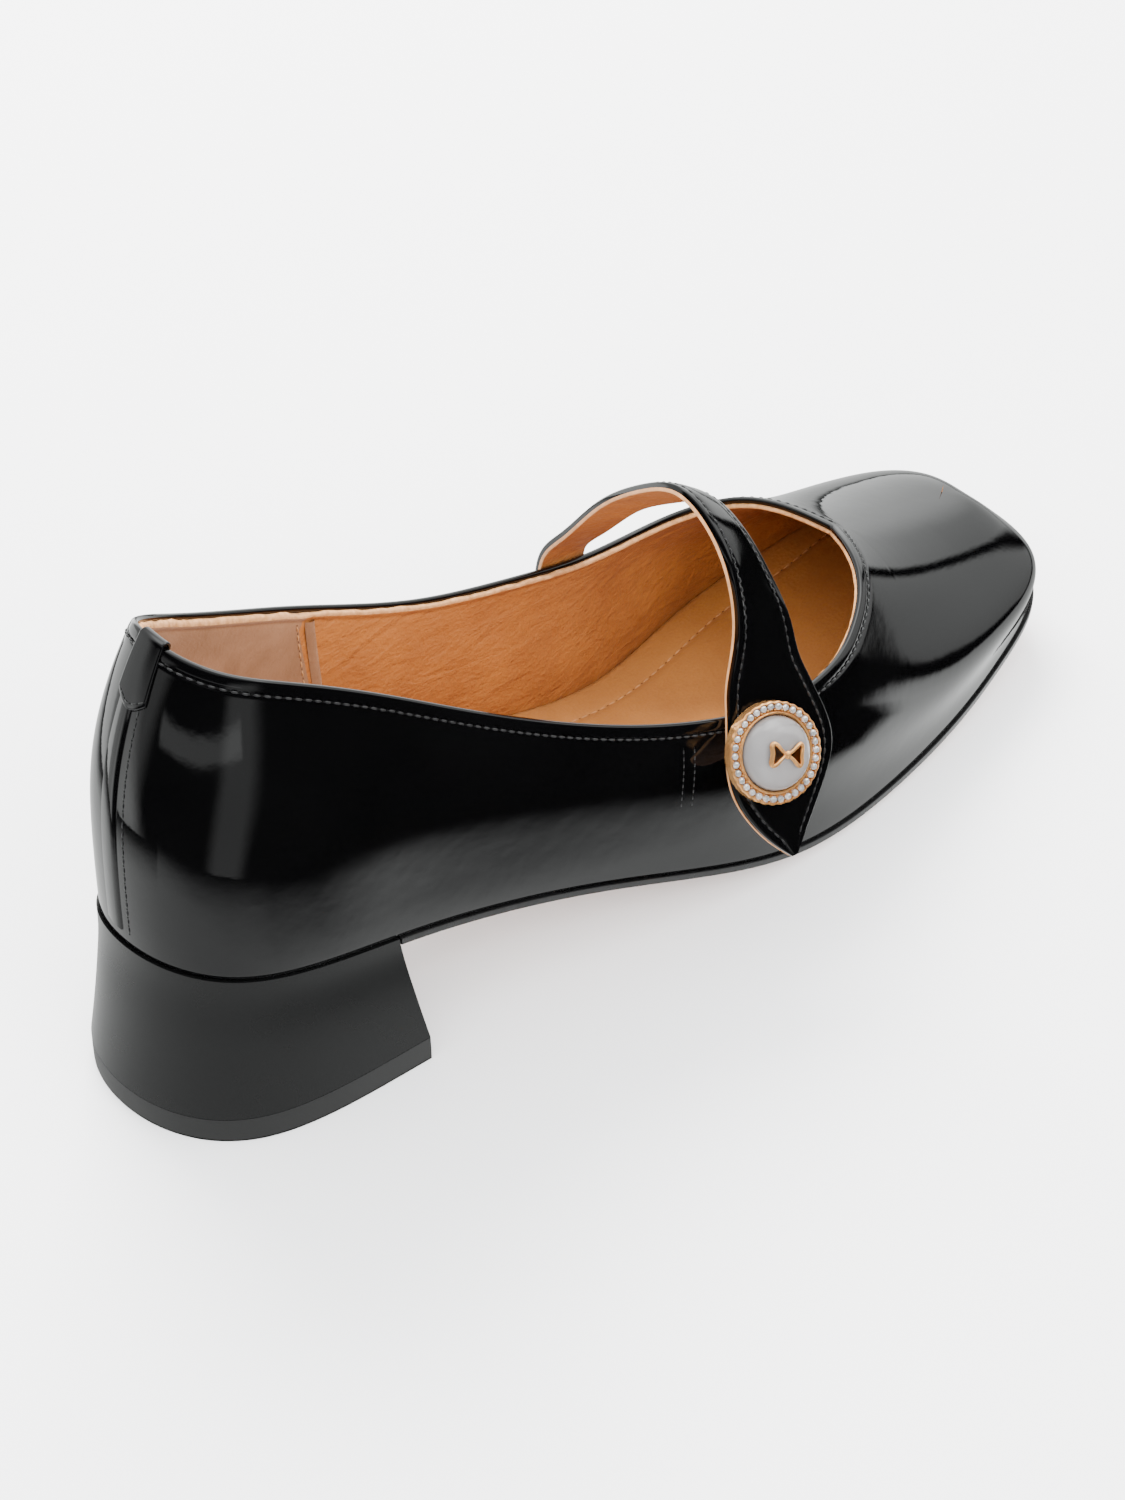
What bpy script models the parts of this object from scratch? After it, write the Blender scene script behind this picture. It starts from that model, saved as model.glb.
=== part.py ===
"""Right-foot mary jane pump: patent upper on a last-shaped shell, thin outsole, flared block heel,
one strap with a pearl ornament. Metres, +Z up, toe along +X, medial side along +Y."""

import math

import bmesh
import bpy
import numpy as np
from mathutils import Matrix, Vector

# Driving sizes of the last
UPPER_LENGTH = 0.246
BALL_WIDTH = 0.0785
HEEL_RISE = 0.0386
TOE_SPRING = 0.0103
INSTEP_HEIGHT = 0.088
TOE_HEIGHT = 0.0232
FULLNESS = 0.0035
SWELL_REACH = 0.95
SWELL_POWER = 3
SPINE_BACK = 0.042
SPINE_FRONT_INSET = 0.0065
SPINE_BLEND = 0.014
CROWN = 0.0032
CROWN_HALF_WIDTH = 0.038
SIDE_POWER = 2.82
TOP_POWER = 1.9
THROAT = 0.190
THROAT_SKEW = 0.0035
THROAT_SKEW_REACH = 0.030

# Thicknesses and clearances
WALL = 0.0016
CLEARANCE = 0.0003
INSOLE_CLEARANCE = 0.0004
INSOLE_THICKNESS = 0.0018
SOLE_LIP = 0.0006
SOLE_EDGE = 0.0019
SOLE_THICKNESS = 0.0038
SOLE_BEVEL = 0.009
TREAD_DEPTH = 0.0002

# Heel
BREAST = 0.0458
BREAST_SLANT = 0.0030
HEEL_FLARE = 0.0047
LIFT_HEIGHT = 0.0060

# Tab, strap and ornament
TAB_THICKNESS = 0.0010
TAB_HEIGHT = 0.0135
TAB_HALF_WIDTH = 0.0045
STRAP_THICKNESS = 0.0020
BEZEL_RADIUS = 0.0106
BEZEL_RIM = 0.0005
BEZEL_FLOOR = 0.0012
BEZEL_HEIGHT = 0.0026
STONE_RING_WIDTH = 0.0018
STONE_RING_HEIGHT = 0.0016
PEARL_RADIUS = 0.0076
PEARL_RISE = 0.0046
PEARL_POWER = 2.3
BOW_HALF_WIDTH = 0.0036
BOW_TURN = 8.0

# Feather outline: share of length, then share of ball width to the lateral and medial side
OUTLINE = (
    (0.000, 0.000, 0.000),
    (0.012, 0.162, 0.145),
    (0.045, 0.275, 0.229),
    (0.110, 0.333, 0.303),
    (0.200, 0.352, 0.337),
    (0.320, 0.400, 0.341),
    (0.440, 0.470, 0.335),
    (0.550, 0.522, 0.352),
    (0.650, 0.523, 0.413),
    (0.740, 0.490, 0.475),
    (0.830, 0.436, 0.488),
    (0.905, 0.373, 0.458),
    (0.960, 0.308, 0.388),
    (0.990, 0.222, 0.282),
    (1.000, 0.083, 0.135),
)
# Feather height over the forefoot: share of length, share of heel rise, share of toe spring
FEATHER = (
    (0.00, 1.000, 0.00),
    (0.13, 0.821, 0.00),
    (0.26, 0.655, 0.00),
    (0.38, 0.460, 0.00),
    (0.50, 0.205, 0.00),
    (0.60, 0.035, 0.00),
    (0.70, 0.000, 0.00),
    (0.80, 0.000, 0.11),
    (0.90, 0.000, 0.45),
    (1.00, 0.000, 1.00),
)
FOREFOOT_LEVEL = SOLE_THICKNESS + CLEARANCE - TREAD_DEPTH
# Ridge of the last over the feather: share of length, share of instep height, share of toe height
RIDGE = (
    (0.00, 0.900, 0.00),
    (0.12, 0.990, 0.00),
    (0.25, 1.010, 0.00),
    (0.38, 0.980, 0.00),
    (0.50, 0.920, 0.00),
    (0.60, 0.820, 0.00),
    (0.68, 0.680, 0.00),
    (0.76, 0.485, 0.10),
    (0.85, 0.180, 0.72),
    (0.93, 0.000, 1.00),
    (1.00, 0.000, 0.66),
)
# Topline: share of the way to the throat, then how far out it lies on the lateral and medial side
COLLAR = (
    (0.000, 0.656, 0.656),
    (0.147, 0.735, 0.800),
    (0.324, 0.838, 0.885),
    (0.500, 0.890, 0.918),
    (0.676, 0.876, 0.890),
    (0.809, 0.817, 0.840),
    (0.897, 0.691, 0.732),
    (0.956, 0.423, 0.471),
    (1.000, 0.000, 0.000),
)
# Outward swell between feather and topline: share of length, lateral and medial share of fullness
SWELL = (
    (0.00, 0.30, 0.30),
    (0.15, 0.90, 0.60),
    (0.35, 0.95, 1.15),
    (0.55, 1.15, 1.00),
    (0.75, 1.00, 0.80),
    (0.90, 0.85, 0.40),
    (1.00, 0.55, 0.55),
)

# Flare of the heel: share of the way down, share of the flare
HEEL_PROFILE = (
    (0.00, 0.00),
    (0.12, 0.03),
    (0.40, 0.27),
    (0.70, 0.61),
    (1.00, 1.00),
)
# Lower edge of the back tab: share of its half width, share of its height
TAB_EDGE = (
    (0.00, 1.00),
    (0.40, 0.97),
    (0.80, 0.88),
    (1.00, 0.78),
)
# Leaf at the strap's lateral end, in its own plane: way down from its middle, then how far ahead of
# that middle the rear and the front edge lie
STRAP_LEAF = (
    (-0.0161, -0.0088, 0.0096),
    (-0.0082, -0.0120, 0.0104),
    (-0.0042, -0.0137, 0.0107),
    (0.0000, -0.0149, 0.0104),
    (0.0046, -0.0151, 0.0084),
    (0.0096, -0.0140, 0.0040),
    (0.0143, -0.0120, -0.0008),
    (0.0179, -0.0098, -0.0045),
    (0.0201, -0.0082, -0.0068),
)
# Strap on the medial side, base to topline
STRAP_BASE = (
    (0.0250, 0.1310, 0.1440),
    (0.0320, 0.1310, 0.1440),
    (0.0400, 0.1310, 0.1440),
    (0.0440, 0.1309, 0.1438),
)
# Free part of the strap over the instep: x, y, z of the rear edge, then of the front edge
STRAP_ARC = (
    (0.1308, 0.0289, 0.0500, 0.1436, 0.0289, 0.0480),
    (0.1308, 0.0218, 0.0608, 0.1426, 0.0210, 0.0575),
    (0.1304, 0.0090, 0.0770, 0.1421, 0.0085, 0.0712),
    (0.1300, -0.0050, 0.0895, 0.1415, -0.0045, 0.0810),
    (0.1296, -0.0179, 0.0951, 0.1411, -0.0150, 0.0860),
    (0.1296, -0.0278, 0.0896, 0.1415, -0.0243, 0.0823),
    (0.1292, -0.0334, 0.0806, 0.1424, -0.0310, 0.0746),
    (0.1278, -0.0362, 0.0672, 0.1426, -0.0370, 0.0661),
)
# Bow from one tip to its knot: share of half width, half height, half thickness
BOW = (
    (-1.00, 0.0013, 0.0003),
    (-0.93, 0.0022, 0.0007),
    (-0.70, 0.0024, 0.0010),
    (-0.40, 0.0015, 0.0009),
    (-0.17, 0.0007, 0.0007),
    (0.00, 0.0009, 0.0009),
)

# Strap and ornament on the upper
STRAP_CROWN = 0.0006
LEAF_X = 0.1320
LEAF_Z = 0.0455
ORNAMENT_BACK = 0.0048
ORNAMENT_UP = 0.0020
# The leaf stands out from the upper: its lean back from upright, its turn to the heel, the stretch of
# topline that it rests against, and the stations to look for it in
LEAF_LEAN = math.radians(32.5)
LEAF_TURN = math.radians(10.0)
LEAF_REST = (0.1212, 0.1450)
LEAF_STATIONS = (5.5, 8.5, 61)

# Station and section angle from which the strap's places on the upper are searched
STRAP_BASE_GUESS = (6.9, math.radians(20.0))

# Fineness of the meshes
FINE_STEP = 1e-5
HALVINGS = 50
STRAP_COLUMNS = 7
STRAP_ARC_STEPS = 22
BOW_SIDES = 16
UPPER_ROWS = 12
QUARTER_COLUMNS = 38
VAMP_COLUMNS = 22
CROWDING = 1.25
SOLE_COLUMNS = 50
HEEL_COLUMNS = 26
INSOLE_COLUMNS = 60
TAB_COLUMNS = 9
TAB_ROWS = 6
ROUND_SIDES = 48
SMOOTH_ANGLE = math.radians(40.0)

# Colours
BLACK_PATENT = (0.012, 0.012, 0.013)
BLACK_LACQUER = (0.018, 0.019, 0.019)
BLACK_RUBBER = (0.030, 0.029, 0.028)
TAN_LEATHER = (0.620, 0.350, 0.160)
ROSE_GOLD = (0.780, 0.470, 0.290)
PEARL_WHITE = (0.860, 0.840, 0.820)
STONE_CLEAR = (0.750, 0.760, 0.760)

# Shares of the length at which the middle line between the feather lines is taken
MIDDLE_SHARES = (0.12, 0.30, 0.45, 0.60, 0.75, 0.88)


class Curve:
    """A twice smooth cubic through the rows of a table; closed loops repeat their first row."""

    def __init__(self, at, values, closed=False):
        self.at = np.asarray(at, float)
        self.values = np.asarray(values, float).reshape(len(self.at), -1)
        step = np.diff(self.at)
        rise = np.diff(self.values, axis=0) / step[:, None]
        count = len(self.at)
        system = np.zeros((count, count))
        target = np.zeros_like(self.values)
        for i in range(1, count - 1):
            system[i, i - 1 : i + 2] = step[i], 2 * (step[i - 1] + step[i]), step[i - 1]
            target[i] = 3 * (step[i] * rise[i - 1] + step[i - 1] * rise[i])
        if closed:
            system[0, [0, -1]] = 1, -1
            system[-1, [1, 0, -2]] = step[-1], 2 * (step[-1] + step[0]), step[0]
            target[-1] = 3 * (step[0] * rise[-1] + step[-1] * rise[0])
        else:
            system[0, :2] = 2, 1
            target[0] = 3 * rise[0]
            system[-1, -2:] = 1, 2
            target[-1] = 3 * rise[-1]
        self.slopes = np.linalg.solve(system, target)

    def __call__(self, t):
        t = np.asarray(t, float)
        i = np.clip(np.searchsorted(self.at, t, "right") - 1, 0, len(self.at) - 2)
        step = (self.at[i + 1] - self.at[i])[..., None]
        u = ((t - self.at[i]) / step[..., 0])[..., None]
        start = self.values[i] * (1 + 2 * u) * (1 - u) ** 2 + self.slopes[i] * step * u * (1 - u) ** 2
        end = self.values[i + 1] * u * u * (3 - 2 * u) - self.slopes[i + 1] * step * u * u * (1 - u)
        found = start + end
        return found[..., 0] if self.values.shape[1] == 1 else found


def column(table, which):
    return np.array([row[which] for row in table])


def soft_floor(x, low, blend):
    """x where it is well over low, easing to low below it."""
    return low + blend * np.logaddexp(0.0, (x - low) / blend)


class Last:
    """The last's surface. A station s runs along both feather lines from the back (0) to the toe
    (len(OUTLINE)), and out runs from 1 on the feather line to 0 on the ridge."""

    def __init__(self):
        along = column(OUTLINE, 0) * UPPER_LENGTH
        lateral = np.c_[along, -column(OUTLINE, 1) * BALL_WIDTH]
        medial = np.c_[along, column(OUTLINE, 2) * BALL_WIDTH]
        tip = (lateral[-1:] + medial[-1:]) / 2
        loop = np.vstack([lateral, tip, medial[:0:-1], lateral[:1]])
        chords = np.linalg.norm(np.diff(loop, axis=0), axis=1) ** 0.75
        at = np.concatenate([[0.0], np.cumsum(chords)])
        self.last_station = len(lateral)
        self.feather_line = Curve(at, loop, closed=True)
        self.knots = {-1: at[: self.last_station + 1], 1: at[: self.last_station - 1 : -1]}
        self.feather = Curve(column(FEATHER, 0) * UPPER_LENGTH, self.feather_heights())
        rise = column(RIDGE, 1) * INSTEP_HEIGHT + column(RIDGE, 2) * TOE_HEIGHT
        self.ridge = Curve(column(RIDGE, 0) * UPPER_LENGTH, rise)
        self.collar = {}
        self.swell = {}
        for side, which in ((-1, 1), (1, 2)):
            self.collar[side] = Curve(column(COLLAR, 0) * THROAT, column(COLLAR, which))
            self.swell[side] = Curve(column(SWELL, 0) * UPPER_LENGTH, column(SWELL, which))
        points = np.array([self.middle(self.station(share * UPPER_LENGTH)) for share in MIDDLE_SHARES])
        self.middle_line = Curve(points[:, 0], points[:, 1])

    def feather_heights(self):
        return FOREFOOT_LEVEL + column(FEATHER, 1) * HEEL_RISE + column(FEATHER, 2) * TOE_SPRING

    def edge(self, side, s):
        """Feather line in plan, with its outward normal."""
        t = np.interp(s, np.arange(self.last_station + 1), self.knots[side])
        small = FINE_STEP * self.knots[-1][-1]
        ahead = self.feather_line(t + small) - self.feather_line(t - small)
        ahead /= np.linalg.norm(ahead, axis=-1, keepdims=True)
        return self.feather_line(t), np.stack([ahead[..., 1], -ahead[..., 0]], -1)

    def middle(self, s):
        return (self.edge(-1, s)[0] + self.edge(1, s)[0]) / 2

    def station(self, x):
        """Station whose middle lies at x."""
        low, high = 0.0, float(self.last_station)
        for _ in range(HALVINGS):
            half = (low + high) / 2
            low, high = (half, high) if self.middle(half)[0] < x else (low, half)
        return (low + high) / 2

    def spine(self, s):
        """Ridge point in plan: the middle line, eased off at both ends."""
        middle = self.middle(s)
        front = UPPER_LENGTH - SPINE_FRONT_INSET
        x = soft_floor(middle[..., 0], SPINE_BACK, SPINE_BLEND)
        x = -soft_floor(-x, -front, SPINE_BLEND)
        return np.stack([x, self.middle_y(x)], -1)

    def middle_y(self, x):
        skew = THROAT_SKEW * np.exp(-(((x - THROAT) / THROAT_SKEW_REACH) ** 2))
        low, high = MIDDLE_SHARES[0] * UPPER_LENGTH, MIDDLE_SHARES[-1] * UPPER_LENGTH
        return self.middle_line(np.clip(x, low, high)) - skew

    def height(self, x, y):
        """Ridge height at a point in plan, lower to both sides so that the ridge has no crease."""
        x = np.clip(x, 0.0, UPPER_LENGTH)
        return self.feather(x) + self.ridge(x) - CROWN * ((y - self.middle_y(x)) / CROWN_HALF_WIDTH) ** 2

    def point(self, side, s, out):
        """Outer face of the upper."""
        s, out = np.broadcast_arrays(np.asarray(s, float), np.asarray(out, float))
        edge, normal = self.edge(side, s)
        spine = self.spine(s)
        x_along = np.clip(edge[..., 0], 0.0, UPPER_LENGTH)
        up = (1 - out**SIDE_POWER) ** (1 / TOP_POWER)
        bump = np.sin(np.pi * np.clip(up / SWELL_REACH, 0, 1)) ** SWELL_POWER
        swell = FULLNESS * self.swell[side](x_along) * bump
        plan = edge + (spine - edge) * (1 - out)[..., None] + normal * swell[..., None]
        base = self.feather(x_along)
        z = base * (1 - up) + self.height(plan[..., 0], plan[..., 1]) * up
        return np.concatenate([plan, z[..., None]], -1)

    def collar_lean(self, side, s):
        """How far up the section the topline lies, as an angle from the feather line."""
        x = np.clip(self.edge(side, s)[0][..., 0], 0.0, THROAT)
        out = np.clip(self.collar[side](x), 0.0, 1.0)
        ahead = self.middle(s)[..., 0] >= THROAT - FINE_STEP
        return np.where(ahead, np.pi / 2, np.arccos(out ** (SIDE_POWER / 2)))

    def skin(self, side, s, lean, lift=0.0):
        """Outer face by section angle, lifted along its normal."""
        found = self.point(side, s, np.cos(lean) ** (2 / SIDE_POWER))
        if lift == 0.0:
            return found
        return found + lift * self.normal(side, s, lean)

    def normal(self, side, s, lean):
        step = 1e-3
        ahead = self.skin(side, s + step, lean) - self.skin(side, s - step, lean)
        lean = np.clip(lean, step, np.pi / 2 - step)
        upward = self.skin(side, s, lean + step) - self.skin(side, s, lean - step)
        across = np.cross(ahead, upward) * -side
        return across / np.linalg.norm(across, axis=-1, keepdims=True)

    def find(self, side, targets, picked, start, lift=0.0):
        """Station and lean where the picked coordinates of the lifted skin meet the targets."""
        at = np.array(start, float)
        for _ in range(30):
            here = picked(self.skin(side, at[0], at[1], lift))
            slopes = []
            for k in range(2):
                moved = at.copy()
                moved[k] += FINE_STEP
                slopes.append((picked(self.skin(side, moved[0], moved[1], lift)) - here) / FINE_STEP)
            change = np.linalg.solve(np.array(slopes).T, np.asarray(targets) - here)
            at += change
            at[1] = np.clip(at[1], FINE_STEP, np.pi / 2 - FINE_STEP)
            if np.abs(change).max() < FINE_STEP:
                break
        return at


# Building the pieces


def finish_of(name, colour, roughness, metallic=0.0):
    made = bpy.data.materials.new(name)
    made.use_nodes = True
    shader = made.node_tree.nodes["Principled BSDF"]
    shader.inputs["Base Color"].default_value = (*colour, 1.0)
    shader.inputs["Roughness"].default_value = roughness
    shader.inputs["Metallic"].default_value = metallic
    made.diffuse_color = (*colour, 1.0)
    return made


def piece(name, vertices, faces, finish, thickness=0.0):
    """One closed body; an open sheet is thickened inwards from its outer face."""
    mesh = bpy.data.meshes.new(name)
    mesh.from_pydata([tuple(map(float, v)) for v in vertices], [], faces)
    work = bmesh.new()
    work.from_mesh(mesh)
    bmesh.ops.recalc_face_normals(work, faces=work.faces)
    work.to_mesh(mesh)
    work.free()
    made = bpy.data.objects.new(name, mesh)
    shoe.objects.link(made)
    mesh.materials.append(finish)
    mesh.shade_smooth()
    mesh.set_sharp_from_angle(angle=SMOOTH_ANGLE)
    if thickness:
        wall = made.modifiers.new("wall", "SOLIDIFY")
        wall.thickness = thickness
        wall.offset = -1.0
        wall.use_even_offset = True
    return made


def ring_of(lateral, medial, share_start, share_end):
    """Closed loop out along the lateral chain and back along the medial one."""
    back = medial[::-1]
    if share_end:
        back = back[1:]
    if share_start:
        back = back[:-1]
    return np.concatenate([lateral, back])


def stacked(rings, chain, share_start, share_end):
    """Closed body through rings of equal count, its end faces strung between their two chains."""
    count = len(rings[0])
    faces = []
    for k in range(len(rings) - 1):
        low = k * count
        high = low + count
        for i in range(count):
            j = (i + 1) % count
            faces.append((low + i, low + j, high + j, high + i))
    other = [2 * chain - 1 - i - int(share_end) for i in range(chain)]
    if share_end:
        other[-1] = chain - 1
    if share_start:
        other[0] = 0
    for base in (0, (len(rings) - 1) * count):
        for i in range(chain - 1):
            corners = [i, i + 1]
            for corner in (other[i + 1], other[i]):
                if corner not in corners:
                    corners.append(corner)
            face = [base + corner for corner in corners]
            faces.append(tuple(face if base else face[::-1]))
    return np.concatenate(rings), faces


def sheet_faces(rows, columns):
    faces = []
    for i in range(rows - 1):
        for j in range(columns - 1):
            low = i * columns + j
            faces.append((low, low + 1, low + columns + 1, low + columns))
    return faces


def even_stations(first, last, count, crowd=1.0):
    """Stations at even steps of the feather line, closing up towards the last when crowded."""
    knots = last_form.knots[-1]
    numbers = np.arange(len(knots))
    start, end = np.interp([first, last], numbers, knots)
    share = 1 - (1 - np.linspace(0, 1, count)) ** crowd
    return np.interp(start + (end - start) * share, knots, numbers)


def station_at(side, x):
    """Station where one side's feather line reaches x."""
    low, high = 0.0, float(last_form.last_station - 1)
    for _ in range(HALVINGS):
        half = (low + high) / 2
        low, high = (half, high) if last_form.edge(side, half)[0][0] < x else (low, half)
    return (low + high) / 2


def chain_of(side, stations, offset, level):
    """Feather line moved outwards by offset, at the height that level gives for each x."""
    edge, normal = last_form.edge(side, stations)
    plan = edge + normal * np.reshape(offset, (-1, 1))
    return np.c_[plan, level(np.clip(edge[:, 0], 0.0, UPPER_LENGTH))]


def upper():
    throat = last_form.station(THROAT)
    behind = even_stations(0.0, throat, QUARTER_COLUMNS, CROWDING)
    ahead = even_stations(throat, last_form.last_station, VAMP_COLUMNS)[1:]
    stations = np.concatenate([behind, ahead])
    ring = [(-1, i) for i in range(len(stations))] + [(1, i) for i in range(len(stations) - 2, 0, -1)]
    share = np.linspace(0, 1, UPPER_ROWS + 1)
    vertices = []
    index = {}
    for side, i in ring:
        top = float(last_form.collar_lean(side, stations[i]))
        column_points = last_form.skin(side, np.full(len(share), stations[i]), top * share)
        for row, point in enumerate(column_points):
            ridge = row == UPPER_ROWS and i >= len(behind) - 1
            key = (0 if ridge else side, i, row)
            if key not in index:
                index[key] = len(vertices)
                vertices.append(point)
            index[(side, i, row)] = index[key]
    faces = []
    for k, (side, i) in enumerate(ring):
        next_side, j = ring[(k + 1) % len(ring)]
        for row in range(UPPER_ROWS):
            corners = []
            for key in ((side, i, row), (next_side, j, row), (next_side, j, row + 1), (side, i, row + 1)):
                if index[key] not in corners:
                    corners.append(index[key])
            faces.append(tuple(corners))
    return piece("upper", vertices, faces, patent, WALL)


def insole():
    stations = even_stations(0.0, last_form.last_station, INSOLE_COLUMNS)
    rings = []
    for rise in (0.0, INSOLE_THICKNESS):
        chains = []
        for side in (-1, 1):
            inset = -(WALL + INSOLE_CLEARANCE)
            chains.append(chain_of(side, stations, inset, lambda x: last_form.feather(x) + rise))
        rings.append(ring_of(*chains, True, True))
    vertices, faces = stacked(rings, len(stations), True, True)
    return piece("insole", vertices, faces, tan)


def outsole():
    def top(x):
        return last_form.feather(x) - CLEARANCE

    def edge_level(x):
        return top(x) - SOLE_EDGE

    def tread(x):
        return np.maximum(top(x) - SOLE_THICKNESS, 0.0)

    rings = []
    for offset, level in ((SOLE_LIP, top), (SOLE_LIP, edge_level), (-SOLE_BEVEL, tread)):
        chains = []
        for side in (-1, 1):
            start = station_at(side, BREAST + 2 * CLEARANCE)
            stations = even_stations(start, last_form.last_station, SOLE_COLUMNS)
            chains.append(chain_of(side, stations, offset, level))
        rings.append(ring_of(*chains, False, True))
    vertices, faces = stacked(rings, SOLE_COLUMNS, False, True)
    return piece("outsole", vertices, faces, rubber)


def heel_ring(level, flare, front):
    chains = []
    for side in (-1, 1):
        stations = even_stations(0.0, station_at(side, BREAST), HEEL_COLUMNS)
        chain = chain_of(side, stations, SOLE_LIP + HEEL_FLARE * flare, level)
        chain[:, 0] += (front - chain[-1, 0]) * np.clip(chain[:, 0] / chain[-1, 0], 0, 1) ** 2
        chains.append(chain)
    return ring_of(*chains, True, False)


def heel_block():
    bottom = LIFT_HEIGHT + CLEARANCE
    rings = []
    for down, flare in HEEL_PROFILE:
        front = BREAST + BREAST_SLANT * down

        def level(x):
            return (last_form.feather(x) - CLEARANCE) * (1 - down) + bottom * down

        rings.append(heel_ring(level, flare, front))
    vertices, faces = stacked(rings, HEEL_COLUMNS, True, False)
    return piece("heel_block", vertices, faces, lacquer)


def heel_lift():
    front = BREAST + BREAST_SLANT
    rings = [heel_ring(lambda x: x * 0 + height, 1.0, front) for height in (LIFT_HEIGHT, 0.0)]
    vertices, faces = stacked(rings, HEEL_COLUMNS, True, False)
    return piece("heel_lift", vertices, faces, rubber)


def heel_tab():
    lower = Curve(column(TAB_EDGE, 0), column(TAB_EDGE, 1))
    reach = tab_reach()
    rows = []
    for column_share in np.linspace(-1, 1, 2 * TAB_COLUMNS - 1):
        side = -1 if column_share < 0 else 1
        s = abs(column_share) * reach
        top = float(last_form.collar_lean(side, s))
        drop = TAB_HEIGHT * float(lower(abs(column_share)))
        high = last_form.skin(side, s, top)[2]
        fall = (high - last_form.skin(side, s, top - FINE_STEP)[2]) / FINE_STEP
        leans = np.linspace(top, top - drop / fall, TAB_ROWS)
        rows.append(last_form.skin(side, np.full(TAB_ROWS, s), leans, CLEARANCE + TAB_THICKNESS))
    faces = sheet_faces(len(rows), TAB_ROWS)
    return piece("heel_tab", np.concatenate(rows), faces, patent, TAB_THICKNESS)


def tab_reach():
    """Station at which the topline is half the tab's width away from the back seam."""
    low, high = 0.0, 4.0
    for _ in range(HALVINGS):
        half = (low + high) / 2
        y = last_form.skin(1, half, float(last_form.collar_lean(1, half)))[1]
        low, high = (half, high) if y < TAB_HALF_WIDTH else (low, half)
    return (low + high) / 2


def strap_on_skin(side, table, start):
    """Rows of strap points that follow the upper, between the two edges of the table."""
    rows = []
    lift = CLEARANCE + STRAP_THICKNESS
    guess = start
    for height, rear, front in table:
        points = []
        for x in np.linspace(rear, front, STRAP_COLUMNS):
            found = last_form.find(side, (x, height), lambda p: p[[0, 2]], guess, lift)
            points.append(last_form.skin(side, found[0], found[1], lift))
            guess = found
        rows.append(points)
        guess = last_form.find(side, (rear, height), lambda p: p[[0, 2]], guess, lift)
    return np.array(rows)


def leaf_frame():
    """Axes of the leaf: along the shoe, up the strap and out from it; then its middle."""
    level = math.cos(LEAF_LEAN)
    outward = np.array([-math.sin(LEAF_TURN) * level, -math.cos(LEAF_TURN) * level, math.sin(LEAF_LEAN)])
    along = np.array([1.0, 0.0, 0.0])
    along -= outward * along.dot(outward)
    along /= np.linalg.norm(along)
    stations = np.linspace(*LEAF_STATIONS)
    topline = last_form.skin(-1, stations, last_form.collar_lean(-1, stations))
    under = (topline[:, 0] > LEAF_REST[0]) & (topline[:, 0] < LEAF_REST[1])
    reach = (topline[under] @ outward).max() + CLEARANCE + STRAP_THICKNESS
    y = (reach - outward[0] * LEAF_X - outward[2] * LEAF_Z) / outward[1]
    return np.stack([along, np.cross(outward, along), outward]), np.array([LEAF_X, y, LEAF_Z])


def strap():
    axes, centre = leaf_frame()
    end = []
    for down, rear, front in STRAP_LEAF:
        ahead = np.linspace(rear, front, STRAP_COLUMNS)[:, None]
        end.append(centre - axes[1] * down + axes[0] * ahead)
    end = np.array(end)
    base = strap_on_skin(1, STRAP_BASE, STRAP_BASE_GUESS)
    arc = np.array(STRAP_ARC).reshape(-1, 2, 3)
    share = np.linspace(0, 1, STRAP_COLUMNS)
    columns = []
    for k in range(STRAP_COLUMNS):
        middle = arc[:, 0] * (1 - share[k]) + arc[:, 1] * share[k]
        middle = middle + np.array([0, 0, STRAP_CROWN * math.sin(math.pi * share[k])])
        control = np.concatenate([base[:, k], middle, end[:, k]])
        at = np.concatenate([[0.0], np.cumsum(np.linalg.norm(np.diff(control, axis=0), axis=1))])
        path = Curve(at, control)
        first = at[len(base) - 1]
        last = at[len(base) + len(middle)]
        free = path(np.linspace(first, last, STRAP_ARC_STEPS + 1)[1:-1])
        columns.append(np.concatenate([base[:, k], free, end[:, k]]))
    rows = np.stack(columns, 1)
    faces = sheet_faces(len(rows), STRAP_COLUMNS)
    return piece("strap", rows.reshape(-1, 3), faces, patent, STRAP_THICKNESS)


def turned(profile, sides):
    """Closed body turned about the ornament's axis; each profile row is a radius and a height."""
    vertices = [(0.0, 0.0, profile[0][1])]
    angle = 2 * np.pi * np.arange(sides) / sides
    for radius, height in profile[1:-1]:
        height = np.broadcast_to(height, (sides,))
        vertices.extend(np.c_[radius * np.cos(angle), radius * np.sin(angle), height])
    vertices.append((0.0, 0.0, profile[-1][1]))
    faces = []
    rings = len(profile) - 2
    last = len(vertices) - 1
    for i in range(sides):
        j = (i + 1) % sides
        faces.append((0, 1 + j, 1 + i))
        for k in range(rings - 1):
            low = 1 + k * sides
            high = low + sides
            faces.append((low + i, low + j, high + j, high + i))
        low = 1 + (rings - 1) * sides
        faces.append((low + i, low + j, last))
    return np.array(vertices, float), faces


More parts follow.
